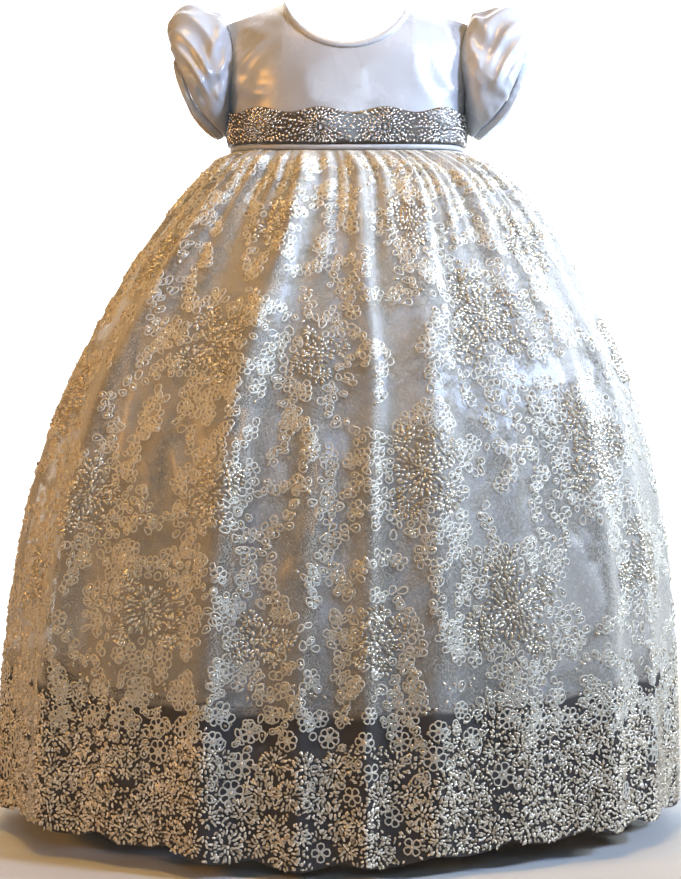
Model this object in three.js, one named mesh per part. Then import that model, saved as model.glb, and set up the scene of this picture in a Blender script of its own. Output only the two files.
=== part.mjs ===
// Christening gown: a satin bodice with puff sleeves, a bead work belt, and a gathered skirt of lace net over a
// shorter satin lining. Filled out and hollow: neck, cuffs and hem are open.
// Millimetres, +Z up, the front faces -Y, +X is the viewer's right.
// The origin is midway between the two neck points of the shoulders.

import * as THREE from "three";

// Seams and walls
const SEAM_GAP = 0.4;
const BODICE_WALL = 1.6;
const SLEEVE_WALL = 1.5;
const NET_WALL = 1.3;
const LINING_WALL = 1.3;
const SQUARENESS = 2.2;

// Bodice
const SHOULDER_HALF = 92;
const SHOULDER_DROP = 16;
const WAIST_HALF_WIDTH = 86.5;
const BODICE_DEPTH = 57;
const SHOULDER_TURN = 24;
const NECK_HALF = 48;
const NECK_DEPTH_FRONT = 46;
const NECK_DEPTH_BACK = 29;
const ARMHOLE_CUT = 7;
const UNDERARM_Z = -75;
const WAIST_Z = -110;
const WAIST_DIP = 5;

// Bound edges
const BINDING_HEIGHT = 4.4;
const BINDING_THICK = 3;
const PIPING_DIAMETER = 3.8;
const CUFF_WIDTH = 7;
const CUFF_THICK = 2.4;

// Sleeves
const CUFF_HALF_LENGTH = 32.5;
const CUFF_HALF_DEPTH = 27;
const PUFF_RISE = 27;
const PUFF_FRONT = 13;
const SLEEVE_GATHERS = 8;
const SLEEVE_GATHER_DEPTH = 1.5;

// Belt
const BELT_GAP = 0.5;
const BELT_WALL = 2;
const BELT_TOP_Z = -87;
const BELT_BOTTOM_Z = -109.4;
const BELT_SCALLOP = 4;
const BELT_MEDALLIONS = 10;
const BELT_MEDALLION_RISE = 1.6;
const BELT_SHIFT = 4;

// Skirt
const SKIRT_TOP_Z = -114.6;
const SKIRT_LENGTH = 498;
const LINING_LENGTH = 396;
const LINING_INSET = 8;
const LINING_DRAW_IN = 12;
const LINING_SWAY = 11;
const GATHER_DEPTH = 2;
const GATHER_FADE = 120;
const FRONT_GATHERS = 16;
const BACK_GATHERS = 11;
const FOLD_SET_IN = 3;
const SCALLOPS = 26;
const SCALLOP_DEPTH = 5;
const HEM_LIFT = 12;
const HEM_LOW_SPAN = 24;
const BORDER_HEIGHT = 96;
const BORDER_RISE = 1.1;
const MOTIF_RISE = 1.3;

// Buttons
const BUTTON_DIAMETER = 9;
const BUTTON_HEIGHT = 4;
const BUTTON_OFFSET = 6;
const BUTTON_Z = [-34, -51, -68];

// Half width, half depth and sideways sway of the skirt at each drop below its top edge.
const SKIRT_SECTIONS = [
  { drop: 0, halfWidth: 87.5, halfDepth: 57.5, sway: 0 },
  { drop: 6, halfWidth: 99, halfDepth: 66, sway: 2 },
  { drop: 20, halfWidth: 116, halfDepth: 80, sway: 6 },
  { drop: 50, halfWidth: 142, halfDepth: 103, sway: 6.2 },
  { drop: 96, halfWidth: 171, halfDepth: 128, sway: 3.6 },
  { drop: 156, halfWidth: 200, halfDepth: 154, sway: 2.4 },
  { drop: 236, halfWidth: 224, halfDepth: 177, sway: -1.2 },
  { drop: 336, halfWidth: 241, halfDepth: 194, sway: -4.2 },
  { drop: 420, halfWidth: 246, halfDepth: 201, sway: -6 },
  { drop: 498, halfWidth: 247, halfDepth: 203, sway: -6 },
];

// The two sleeves: side, middle of the cuff seam, tilt of the cuff in degrees and how far the puff stands out.
const SLEEVES = [
  { name: "left", hand: -1, cuffX: 113, cuffZ: -71, tilt: 24, puffOut: 22 },
  { name: "right", hand: 1, cuffX: 117, cuffZ: -72, tilt: 27, puffOut: 18 },
];

// Large folds: angle at the waist and at the hem, half spread, both in degrees from the front towards +X,
// depth in millimetres and the share of the length at which the fold begins to open.
const FOLDS = [
  { waist: -74, hem: -79, spread: 7, depth: 10, from: 0.2 },
  { waist: -46, hem: -51, spread: 7, depth: 15, from: 0.05 },
  { waist: -31, hem: -36, spread: 6, depth: 6, from: 0.35 },
  { waist: -13, hem: -22, spread: 5, depth: 16, from: 0 },
  { waist: -2, hem: -7, spread: 4, depth: 11, from: 0 },
  { waist: 3, hem: 2, spread: 2.6, depth: 8, from: 0 },
  { waist: 10, hem: 9, spread: 3.4, depth: 9, from: 0.05 },
  { waist: 22, hem: 27, spread: 8, depth: 5, from: 0.3 },
  { waist: 38, hem: 45, spread: 6, depth: 7, from: 0.15 },
  { waist: 54, hem: 62, spread: 6, depth: 11, from: 0.1 },
  { waist: 74, hem: 79, spread: 7, depth: 9, from: 0.2 },
  { waist: 101, hem: 98, spread: 7, depth: 10, from: 0.15 },
  { waist: 122, hem: 117, spread: 6, depth: 13, from: 0.05 },
  { waist: 139, hem: 136, spread: 7, depth: 8, from: 0.25 },
  { waist: 158, hem: 155, spread: 6, depth: 14, from: 0 },
  { waist: 174, hem: 173, spread: 5, depth: 10, from: 0.05 },
  { waist: 188, hem: 190, spread: 6, depth: 12, from: 0.05 },
  { waist: 206, hem: 209, spread: 7, depth: 9, from: 0.2 },
  { waist: 224, hem: 228, spread: 6, depth: 13, from: 0 },
  { waist: 243, hem: 247, spread: 7, depth: 9, from: 0.1 },
  { waist: 260, hem: 264, spread: 6, depth: 10, from: 0.2 },
];

// Raised lace medallions of the net: angle, drop below the top edge and radius.
const MEDALLIONS = [
  { at: -22, drop: 58, radius: 30 },
  { at: 14, drop: 58, radius: 30 },
  { at: 52, drop: 72, radius: 32 },
  { at: -60, drop: 84, radius: 32 },
  { at: -29, drop: 151, radius: 36 },
  { at: -7, drop: 156, radius: 30 },
  { at: 29, drop: 130, radius: 42 },
  { at: 80, drop: 156, radius: 36 },
  { at: -72, drop: 188, radius: 38 },
  { at: -24, drop: 250, radius: 34 },
  { at: 12, drop: 237, radius: 42 },
  { at: 49, drop: 224, radius: 42 },
  { at: -50, drop: 256, radius: 36 },
  { at: -66, drop: 318, radius: 38 },
  { at: -33, drop: 332, radius: 40 },
  { at: -13, drop: 349, radius: 32 },
  { at: 5, drop: 349, radius: 32 },
  { at: 29, drop: 331, radius: 44 },
  { at: 63, drop: 303, radius: 40 },
  { at: 100, drop: 90, radius: 32 },
  { at: 135, drop: 66, radius: 32 },
  { at: 172, drop: 70, radius: 32 },
  { at: 208, drop: 64, radius: 32 },
  { at: 244, drop: 80, radius: 32 },
  { at: 117, drop: 165, radius: 38 },
  { at: 153, drop: 150, radius: 40 },
  { at: 190, drop: 160, radius: 40 },
  { at: 227, drop: 152, radius: 38 },
  { at: 262, drop: 170, radius: 36 },
  { at: 104, drop: 250, radius: 40 },
  { at: 135, drop: 240, radius: 40 },
  { at: 171, drop: 252, radius: 42 },
  { at: 208, drop: 242, radius: 40 },
  { at: 244, drop: 254, radius: 40 },
  { at: 120, drop: 330, radius: 40 },
  { at: 153, drop: 338, radius: 42 },
  { at: 189, drop: 330, radius: 40 },
  { at: 226, drop: 340, radius: 42 },
  { at: 258, drop: 330, radius: 38 },
];

// Dents of the sleeves: angle round the sleeve from its top towards the front, place along it, spreads and depth.
const SLEEVE_DENTS = [
  { at: 8, along: 0.2, spread: 26, length: 0.16, depth: 7 },
  { at: 70, along: 0.45, spread: 14, length: 0.4, depth: 3 },
  { at: 108, along: 0.6, spread: 12, length: 0.35, depth: 2.5 },
  { at: -64, along: 0.5, spread: 16, length: 0.4, depth: 3 },
  { at: -112, along: 0.6, spread: 14, length: 0.35, depth: 2.5 },
];

const FRONT_COLUMNS = FRONT_GATHERS * 4;
const BACK_COLUMNS = BACK_GATHERS * 4;
const NET_ROWS = 18;
const NET_INNER_ROWS = 9;
const LINING_ROWS = 8;
const SLEEVE_COLUMNS = SLEEVE_GATHERS * 4;
const SLEEVE_ROWS = 7;
const NECK_COLUMNS = 6;
const SHOULDER_COLUMNS = 5;
const BODICE_ROWS = 8;

const rad = THREE.MathUtils.degToRad;
const lerp = THREE.MathUtils.lerp;
const clamp = THREE.MathUtils.clamp;
const vec = (x, y, z) => new THREE.Vector3(x, y, z);
const hump = (t) => Math.exp(-t * t);
const ease = (t) => THREE.MathUtils.smoothstep(t, 0, 1);
const range = (count) => Array.from({ length: count }, (_, i) => i);
const signedPower = (value, power) => Math.sign(value) * Math.abs(value) ** power;

// Smooth value of a table column at a key, with slopes taken from the neighbouring rows.
function column(table, key, name, at) {
  const last = table.length - 2;
  let i = 0;
  while (i < last && at > table[i + 1][key]) i += 1;
  const slope = (k) => {
    const low = table[Math.max(k - 1, 0)];
    const high = table[Math.min(k + 1, table.length - 1)];
    return (high[name] - low[name]) / (high[key] - low[key]);
  };
  const a = table[i];
  const b = table[i + 1];
  const span = b[key] - a[key];
  const t = clamp((at - a[key]) / span, 0, 1);
  const t2 = t * t;
  const t3 = t2 * t;
  return (
    (2 * t3 - 3 * t2 + 1) * a[name] +
    (t3 - 2 * t2 + t) * span * slope(i) +
    (3 * t2 - 2 * t3) * b[name] +
    (t3 - t2) * span * slope(i + 1)
  );
}

// Shortest signed difference of two angles in degrees.
const turn = (a, b) => ((((a - b + 180) % 360) + 360) % 360) - 180;

// Normal of a surface point(u, v), from small steps both ways.
function normalAt(surface, u, v) {
  const e = 0.002;
  const du = surface(u + e, v).sub(surface(u - e, v));
  const dv = surface(u, v + e).sub(surface(u, v - e));
  return du.cross(dv).normalize();
}

// Grid of points moved off a surface: rows run along v and columns along u.
function grid(surface, us, vs, offset) {
  return vs.map((v) =>
    us.map((u) => {
      const shift = typeof offset === "function" ? offset(u, v) : offset;
      return surface(u, v).addScaledVector(normalAt(surface, u, v), shift);
    }),
  );
}

function solid(points, faces) {
  const geometry = new THREE.BufferGeometry();
  let volume = 0;
  for (const [a, b, c] of faces) {
    volume += points[a].dot(vec(0, 0, 0).crossVectors(points[b], points[c]));
  }
  const index = faces.flatMap(([a, b, c]) => (volume > 0 ? [a, b, c] : [a, c, b]));
  geometry.setFromPoints(points);
  geometry.setIndex(index);
  geometry.computeVertexNormals();
  return geometry;
}

// Closed wall between an outer and an inner grid. A ring's rows close on themselves.
function wall(outer, inner, ring) {
  const points = [];
  const number = (rows) => rows.map((row) => row.map((point) => points.push(point) - 1));
  const out = number(outer);
  const inn = number(inner);
  const faces = [];
  const close = (row) => (ring ? [...row, row[0]] : row);
  const skin = (rows, flip) => {
    for (let r = 0; r + 1 < rows.length; r += 1) {
      const low = close(rows[r]);
      const high = close(rows[r + 1]);
      for (let c = 0; c + 1 < low.length; c += 1) {
        const quad = [low[c], low[c + 1], high[c + 1], high[c]];
        const [p, q, s, t] = flip ? quad.reverse() : quad;
        faces.push([p, q, s], [p, s, t]);
      }
    }
  };
  const strip = (a, b, flip) => {
    let k = 0;
    let l = 0;
    while (k < a.length - 1 || l < b.length - 1) {
      const nextA = k < a.length - 1 ? (k + 1) / (a.length - 1) : 2;
      const nextB = l < b.length - 1 ? (l + 1) / (b.length - 1) : 2;
      let face;
      if (nextA <= nextB) {
        face = [a[k + 1], a[k], b[l]];
        k += 1;
      } else {
        face = [a[k], b[l], b[l + 1]];
        l += 1;
      }
      faces.push(flip ? face.reverse() : face);
    }
  };
  skin(out, false);
  skin(inn, true);
  strip(close(out[0]), close(inn[0]), false);
  strip(close(out.at(-1)), close(inn.at(-1)), true);
  if (!ring) {
    const side = (rows, c) => rows.map((row) => row.at(c));
    strip(side(out, 0), side(inn, 0), true);
    strip(side(out, -1), side(inn, -1), false);
  }
  return solid(points, faces);
}

// Closed tube through rings of points, with flat ends.
function tube(rings) {
  const points = rings.flat();
  const sides = rings[0].length;
  const faces = [];
  for (let r = 0; r + 1 < rings.length; r += 1) {
    for (let s = 0; s < sides; s += 1) {
      const a = r * sides + s;
      const b = r * sides + ((s + 1) % sides);
      faces.push([a, b, b + sides], [a, b + sides, a + sides]);
    }
  }
  const end = (rings.length - 1) * sides;
  for (let s = 1; s + 1 < sides; s += 1) {
    faces.push([0, s + 1, s], [end, end + s, end + s + 1]);
  }
  return solid(points, faces);
}

// Bodice: half width at a height, and the line of the shoulders and neck.
const bodiceHalf = (z) => lerp(WAIST_HALF_WIDTH, SHOULDER_HALF, ease((z - WAIST_Z) / 60));

function shoulderZ(x) {
  const past = Math.max(Math.abs(x) - NECK_HALF, 0);
  return (-SHOULDER_DROP * past) / (SHOULDER_HALF - NECK_HALF);
}

const waistZ = (side, x) => WAIST_Z - (side < 0 ? WAIST_DIP * Math.max(1 - (x / WAIST_HALF_WIDTH) ** 2, 0) : 0);

// Depth of the bodice before (side -1) or behind (side 1) the shoulder line.
function bodiceY(side, x, z) {
  const across = clamp(Math.abs(x) / bodiceHalf(z), 0, 1);
  const round = (1 - across ** SQUARENESS) ** (1 / SQUARENESS);
  const below = Math.max(shoulderZ(x) - z, 0);
  return side * (SEAM_GAP / 2 + BODICE_DEPTH * round * Math.tanh(below / SHOULDER_TURN));
}

function armholeCut(z) {
  const t = clamp((z - UNDERARM_Z) / (-SHOULDER_DROP - UNDERARM_Z), 0, 1);
  return ARMHOLE_CUT * Math.sin(Math.PI * t) ** 0.8;
}

// Half width of the panel's edge: the armhole above the underarm, the side seam below it.
const panelX = (share, z) => share * bodiceHalf(z) - armholeCut(z) * Math.max((share - 0.6) / 0.4, 0) ** 2;

// Top of a panel's column, on the neck curve or on the shoulder.
function panelTop(side, share) {
  const x = share * SHOULDER_HALF;
  if (x >= NECK_HALF) return shoulderZ(x);
  const depth = side < 0 ? NECK_DEPTH_FRONT : NECK_DEPTH_BACK;
  return -depth * Math.sqrt(1 - (x / NECK_HALF) ** 2);
}

// Point of a bodice panel: share across from the centre (0) to the edge (1), height from waist (0) to top (1).
function panelPoint(side, share, height) {
  const signed = Math.sign(share) || 1;
  const across = Math.min(Math.abs(share), 1);
  const bottom = waistZ(side, across * WAIST_HALF_WIDTH);
  const z = lerp(bottom, panelTop(side, across), height);
  const x = panelX(across, z);
  return vec(signed * x, bodiceY(side, x, z), z);
}

const NECK_SHARE = NECK_HALF / SHOULDER_HALF;
const HALF_SHARES = [
  ...range(NECK_COLUMNS).map((k) => NECK_SHARE * Math.sin((Math.PI / 2) * (k / NECK_COLUMNS))),
  ...range(SHOULDER_COLUMNS + 1).map(
    (k) => NECK_SHARE + (1 - NECK_SHARE) * Math.sin((Math.PI / 2) * (k / SHOULDER_COLUMNS)),
  ),
];
const PANEL_HEIGHTS = range(BODICE_ROWS + 1).map((k) => Math.sin((Math.PI / 2) * (k / BODICE_ROWS)));

// Inward point of a panel, kept on its own side of the shoulder and side seams.
function panelInside(side, share, height) {
  const at = panelPoint(side, share, height);
  const signed = Math.sign(share) || 1;
  const z = at.z;
  const x = Math.abs(at.x);
  const e = 0.4;
  const slopeX = (bodiceY(side, x + e, z) - bodiceY(side, x - e, z)) / (2 * e);
  const slopeZ = (bodiceY(side, x, z + e) - bodiceY(side, x, z - e)) / (2 * e);
  const out = vec(-slopeX * side * signed, side, -slopeZ * side).normalize();
  if (x < 0.5) out.x = 0;
  const inside = at.clone().addScaledVector(out, -BODICE_WALL);
  inside.y = side * Math.max(side * inside.y, SEAM_GAP / 2);
  return inside;
}

function bodicePanel(side, shares) {
  const rows = (point) => PANEL_HEIGHTS.map((height) => shares.map((share) => point(side, share, height)));
  return wall(rows(panelPoint), rows(panelInside), false);
}

const frontShares = [...HALF_SHARES.slice(1).map((share) => -share).reverse(), ...HALF_SHARES];

// Half of the back: its edge at the centre back keeps half a seam gap.
function backPanel(hand) {
  const geometry = bodicePanel(1, HALF_SHARES.map((share) => share || 1e-6));
  const place = geometry.getAttribute("position");
  for (let i = 0; i < place.count; i += 1) {
    place.setX(i, Math.max(place.getX(i), SEAM_GAP / 2));
  }
  if (hand > 0) return geometry;
  return mirrored(geometry);
}

function mirrored(geometry) {
  const copy = geometry.clone();
  copy.scale(-1, 1, 1);
  const index = copy.getIndex();
  for (let i = 0; i < index.count; i += 3) {
    const keep = index.getX(i);
    index.setX(i, index.getX(i + 1));
    index.setX(i + 1, keep);
  }
  copy.computeVertexNormals();
  return copy;
}

// Neck binding: a flattened roll that follows the neck edge from one side of the centre back round to the other.
function neckEdge(side, angle) {
  const share = NECK_SHARE * Math.sin(angle);
  return panelPoint(side, share, 1);
}

function neckBinding() {
  const half = [];
  const steps = 12;
  for (let k = 0; k < steps; k += 1) half.push({ side: -1, angle: (Math.PI / 2) * (k / steps) });
  for (let k = steps; k > 0; k -= 1) half.push({ side: 1, angle: (Math.PI / 2) * (k / steps) });
  half.push({ side: 1, angle: 0.03 });
  const right = half.map(({ side, angle }) => neckEdge(side, angle));
  const left = right.slice(1).map((p) => vec(-p.x, p.y, p.z)).reverse();
  const path = [...left, ...right];
  const sides = 6;
  const rings = path.map((at, i) => {
    const before = path[Math.max(i - 1, 0)];
    const after = path[Math.min(i + 1, path.length - 1)];
    const along = after.clone().sub(before).normalize();
    const outward = vec(at.x * 0.5, at.y * 1.1, 14).normalize();
    const up = outward.clone().cross(along).normalize();
    if (up.dot(vec(-at.x, -at.y, 22)) < 0) up.negate();
    const out = along.clone().cross(up).normalize();
    const centre = at.clone().addScaledVector(up, BINDING_HEIGHT / 2 + SEAM_GAP + 0.2);
    return range(sides).map((s) => {
      const turned = (s / sides) * 2 * Math.PI;
      return centre
        .clone()
        .addScaledVector(up, (Math.cos(turned) * BINDING_HEIGHT) / 2)
        .addScaledVector(out, (Math.sin(turned) * BINDING_THICK) / 2);
    });
  });
  return tube(rings);
}

// Armhole edge for the right sleeve: from the shoulder tip (0) down the front to the underarm (180) and up the back.
function armhole(degrees) {
  const side = turn(degrees, 0) >= 0 ? -1 : 1;
  const down = (1 - Math.cos(rad(degrees))) / 2;
  const z = lerp(-SHOULDER_DROP, UNDERARM_Z, down);
  const x = bodiceHalf(z) - armholeCut(z);
  return vec(x + SEAM_GAP + 0.3, bodiceY(side, x, z), z);
}

const cuffAxis = (form) => vec(Math.cos(rad(form.tilt)), 0, -Math.sin(rad(form.tilt)));

// Point of the cuff seam, moved past it along the arm.
function cuffLoop(form, degrees, past) {
  const long = CUFF_HALF_LENGTH * Math.cos(rad(degrees));
  const wide = CUFF_HALF_DEPTH * Math.sin(rad(degrees));
  const axis = cuffAxis(form);
  const at = vec(form.cuffX - long * axis.z, -wide, form.cuffZ + long * axis.x);
  return at.addScaledVector(axis, past);
}

// Sleeve point: degrees round from the top towards the front, along from armhole (0) to cuff (1).
function sleevePoint(form, degrees, along) {
  const t = clamp(along, 0, 1);
  const top = Math.max(Math.cos(rad(degrees)), 0);
  const under = Math.max(-Math.cos(rad(degrees)), 0);
  const face = Math.sin(rad(degrees));
  const puff = Math.sin(Math.PI * t ** 0.9) ** 0.6;
  const at = armhole(degrees).lerp(cuffLoop(form, degrees, 0), along);
  const out = vec(form.puffOut * top * (0.1 + 1.2 * t) + 3 * Math.abs(face), -PUFF_FRONT * face, PUFF_RISE * top - 3 * under);
  at.addScaledVector(out, puff);
  const heart = armhole(0).lerp(armhole(180), 0.5).lerp(vec(form.cuffX, 0, form.cuffZ), t);
  const radial = at.clone().sub(heart).normalize();
  let ripple = SLEEVE_GATHER_DEPTH * Math.cos(rad(degrees * SLEEVE_GATHERS)) * (0.35 + 0.65 * t) * puff * (1.1 - 0.6 * under);
  for (const dent of SLEEVE_DENTS) {
    const near = hump(turn(degrees, dent.at) / dent.spread) * hump((t - dent.along) / dent.length);
    ripple -= dent.depth * near * ease(t / 0.12) * ease((1 - t) / 0.12);
  }
  return at.addScaledVector(radial, ripple);
}

function sleeve(form) {
  const us = range(SLEEVE_COLUMNS).map((c) => (c / SLEEVE_COLUMNS) * 360);
  const vs = range(SLEEVE_ROWS + 1).map((r) => r / SLEEVE_ROWS);
  const outer = vs.map((v) => us.map((u) => sleevePoint(form, u, v)));
  const inner = outer.map((row, r) => {
    const centre = row.reduce((sum, p) => sum.add(p), vec(0, 0, 0)).divideScalar(row.length);
    return row.map((p, c) => {
      const next = row[(c + 1) % row.length];
      const last = row[(c + row.length - 1) % row.length];
      const along = outer[Math.min(r + 1, SLEEVE_ROWS)][c].clone().sub(outer[Math.max(r - 1, 0)][c]);
      const out = next.clone().sub(last).cross(along).normalize();
      if (out.dot(p.clone().sub(centre)) < 0) out.negate();
      if (r === 0) out.setX(Math.min(out.x, 0)).normalize();
      if (r === SLEEVE_ROWS) out.projectOnPlane(cuffAxis(form)).normalize();
      return p.clone().addScaledVector(out, -SLEEVE_WALL);
    });
  });
  return wall(outer, inner, true);
}

function cuff(form) {
  const us = range(SLEEVE_COLUMNS).map((c) => (c / SLEEVE_COLUMNS) * 360);
  const loop = (past, grow) =>
    us.map((u) => {
      const at = cuffLoop(form, u, past);
      const middle = vec(form.cuffX, 0, form.cuffZ).addScaledVector(cuffAxis(form), past);
      const radial = at.clone().sub(middle).normalize();
      return at.addScaledVector(radial, grow);
    });
  const start = SEAM_GAP + 0.2;
  const outer = [loop(start, 0.4), loop(start + CUFF_WIDTH, 0.2)];
  const inner = [loop(start, 0.4 - CUFF_THICK), loop(start + CUFF_WIDTH, 0.2 - CUFF_THICK)];
  return wall(outer, inner, true);
}

// Ring of the waist at an angle from the front, moved out level from the bodice.
function waistRing(degrees, z, out) {
  const s = Math.sin(rad(degrees));
  const c = Math.cos(rad(degrees));
  const half = bodiceHalf(z);
  const x = half * signedPower(s, 2 / SQUARENESS);
  const y = -BODICE_DEPTH * signedPower(c, 2 / SQUARENESS);
  const normal = vec(signedPower(s, 2 - 2 / SQUARENESS) / half, -signedPower(c, 2 - 2 / SQUARENESS) / BODICE_DEPTH, 0);
  return vec(x, y, z).addScaledVector(normal.normalize(), out);
}

const waistDip = (degrees) => WAIST_DIP * Math.max(Math.cos(rad(degrees)), 0) ** 2;

const OPEN_BACK = 1.2;

// Angles at even steps of length round the waist, from one side of the centre back to the other.
function waistAngles(steps) {
  const fine = range(721).map((k) => -180 + k / 2);
  const lengths = [0];
  for (let k = 1; k < fine.length; k += 1) {
    const step = waistRing(fine[k], BELT_TOP_Z, 0).distanceTo(waistRing(fine[k - 1], BELT_TOP_Z, 0));
    lengths.push(lengths[k - 1] + step);
  }
  const total = lengths.at(-1);
  return range(steps + 1).map((n) => {
    const want = lerp(OPEN_BACK, total - OPEN_BACK, n / steps);
    let k = 1;
    while (lengths[k] < want) k += 1;
    const t = (want - lengths[k - 1]) / (lengths[k] - lengths[k - 1]);
    return { at: lerp(fine[k - 1], fine[k], t), run: want, total };
  });
}

function belt() {
  const columns = waistAngles(BELT_MEDALLIONS * 6);
  const medallion = ({ run, total }) => {
    const pitch = total / BELT_MEDALLIONS;
    const off = ((run - BELT_SHIFT) / pitch) % 1;
    return 0.5 - 0.5 * Math.cos(2 * Math.PI * off);
  };
  const heights = [0, 0.22, 0.5, 0.78, 1];
  const row = (height, out) =>
    columns.map((place) => {
      const near = medallion(place);
      const top = BELT_TOP_Z + BELT_SCALLOP * near;
      const z = lerp(BELT_BOTTOM_Z, top, height) - waistDip(place.at);
      return waistRing(place.at, z, out(near));
    });
  const rise = (height) => BELT_MEDALLION_RISE * Math.sin(Math.PI * height);
  const outer = heights.map((h) => row(h, (near) => BELT_GAP + BELT_WALL + rise(h) * near));
  const inner = [0, 1].map((h) => row(h, () => BELT_GAP));
  return wall(outer, inner, false);
}

function waistPiping() {
  const sides = 6;
  const radius = PIPING_DIAMETER / 2;
  const centre = WAIST_Z - SEAM_GAP - radius;
  const rings = waistAngles(52).map(({ at }) =>
    range(sides).map((s) => {
      const turned = ((s + 0.5) / sides) * 2 * Math.PI;
      const z = centre - waistDip(at) + radius * Math.sin(turned);
      return waistRing(at, z, 0.6 + radius * Math.cos(turned));
    }),
  );
  return tube(rings);
}

// Skirt: width and depth at a drop, folds that open towards the hem and gathers that fade below the waist.
function foldDepth(degrees, drop) {
  const t = drop / SKIRT_LENGTH;
  let depth = -FOLD_SET_IN * ease(t * 3);
  for (const fold of FOLDS) {
    const centre = lerp(fold.waist, fold.hem, ease(t * 2.6));
    const open = ease((t - fold.from + 0.15) / 0.55);
    depth += fold.depth * open * hump(turn(degrees, centre) / fold.spread);
  }
  return depth;
}

const frontAngle = (s) => 90 * (0.78 * s + 0.22 * s ** 3);
const backAngle = (s) => 180 + 90 * s;

function skirtPoint(angle, gathers, share, drop, folded, inset, shift, length) {
  const degrees = angle(share);
  const s = Math.sin(rad(degrees));
  const c = Math.cos(rad(degrees));
  const halfWidth = column(SKIRT_SECTIONS, "drop", "halfWidth", drop);
  const halfDepth = column(SKIRT_SECTIONS, "drop", "halfDepth", drop);
  const power = 2 / lerp(SQUARENESS, 2, ease(drop / 80));
  const normal = vec(s / halfWidth, -c / halfDepth, 0).normalize();
  const gather = GATHER_DEPTH * Math.cos(Math.PI * gathers * share) * hump(drop / GATHER_FADE);
  const out = folded * (foldDepth(degrees, drop) + gather) - inset;
  const z = SKIRT_TOP_Z - drop - waistDip(degrees) * (1 - drop / length);
  const x = halfWidth * signedPower(s, power) + column(SKIRT_SECTIONS, "drop", "sway", drop) + shift;
  return vec(x, -halfDepth * signedPower(c, power), z).addScaledVector(normal, out);
}

// Length of the net at an angle: scallops all round, and a lower span in the middle of the front.
function hemDrop(degrees) {
  const scallop = SCALLOP_DEPTH * (1 - Math.abs(Math.sin(rad((degrees * SCALLOPS) / 2))));
  const lift = HEM_LIFT * (1 - hump(turn(degrees, -4) / HEM_LOW_SPAN));
  return SKIRT_LENGTH - scallop - lift;
}

// Height of the lace above a net panel: medallions and the border along the hem.
function laceRise(degrees, drop) {
  const halfWidth = column(SKIRT_SECTIONS, "drop", "halfWidth", drop);
  const halfDepth = column(SKIRT_SECTIONS, "drop", "halfDepth", drop);
  let rise = 0;
  for (const medallion of MEDALLIONS) {
    const step = rad(turn(degrees, medallion.at));
    const reach = Math.hypot(halfWidth * Math.cos(rad(degrees)), halfDepth * Math.sin(rad(degrees)));
    const distance = Math.hypot(step * reach, drop - medallion.drop) / medallion.radius;
    rise = Math.max(rise, MOTIF_RISE * ease(1.6 - 1.4 * distance));
  }
  const border = SKIRT_LENGTH - BORDER_HEIGHT + 8 * Math.sin(rad(degrees * 13));
  return Math.max(rise, BORDER_RISE * ease((drop - border) / 14));
}

const shares = (columns) => range(columns + 1).map((c) => (2 * c) / columns - 1);

// Keeps a skirt panel on its own side of the side seams: before them (side -1) or behind them (side 1).
function ownSide(rows, side) {
  for (const point of rows.flat()) point.y = side * Math.max(side * point.y, SEAM_GAP / 2);
  return rows;
}

function netPanel(side, angle, gathers, columns) {
  const surface = (u, v) => {
    return skirtPoint(angle, gathers, u, v * hemDrop(angle(u)), 1, 0, 0, SKIRT_LENGTH);
  };
  const us = shares(columns);
  const rows = (count, power) => range(count + 1).map((r) => (r / count) ** power);
  const outward = Math.sign(normalAt(surface, 0.01, 0.5).dot(surface(0.01, 0.5).setZ(0)));
  const lace = (u, v) => outward * laceRise(angle(u), v * SKIRT_LENGTH);
  const inside = () => -outward * NET_WALL;
  const outer = grid(surface, us, rows(NET_ROWS, 1.25), lace);
  const inner = grid(surface, us, rows(NET_INNER_ROWS, 1.6), inside);
  return wall(ownSide(outer, side), ownSide(inner, side), false);
}

function liningPanel(side, angle, columns) {
  const surface = (u, v) => {
    const inset = LINING_INSET + LINING_DRAW_IN * ease(v);
    return skirtPoint(angle, columns / 4, u, v * LINING_LENGTH, 0.55, inset, LINING_SWAY * ease(v), LINING_LENGTH);
  };
  const us = shares(columns);
  const vs = range(LINING_ROWS + 1).map((r) => (r / LINING_ROWS) ** 1.5);
  const outward = Math.sign(normalAt(surface, 0.01, 0.5).dot(surface(0.01, 0.5).setZ(0)));
  const outer = grid(surface, us, vs, 0);
  const inner = grid(surface, us, vs, -outward * LINING_WALL);
  return wall(ownSide(outer, side), ownSide(inner, side), false);
}

function backButton(z) {
  const radius = BUTTON_DIAMETER / 2;
  const profile = [
    [0, 0],
    [radius * 0.8, 0],
    [radius, BUTTON_HEIGHT * 0.35],
    [radius * 0.75, BUTTON_HEIGHT * 0.8],
    [0, BUTTON_HEIGHT],
  ].map(([x, y]) => new THREE.Vector2(x, y));
  const geometry = new THREE.LatheGeometry(profile, 12);
  const e = 0.5;
  const y = bodiceY(1, BUTTON_OFFSET, z);
  const slopeX = (bodiceY(1, BUTTON_OFFSET + e, z) - bodiceY(1, BUTTON_OFFSET - e, z)) / (2 * e);
  const slopeZ = (bodiceY(1, BUTTON_OFFSET, z + e) - bodiceY(1, BUTTON_OFFSET, z - e)) / (2 * e);
  const out = vec(-slopeX, 1, -slopeZ).normalize();
  const turned = new THREE.Quaternion().setFromUnitVectors(vec(0, 1, 0), out);
  geometry.applyQuaternion(turned);
  const at = vec(BUTTON_OFFSET, y, z).addScaledVector(out, SEAM_GAP);
  geometry.translate(at.x, at.y, at.z);
  return geometry;
}

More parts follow.
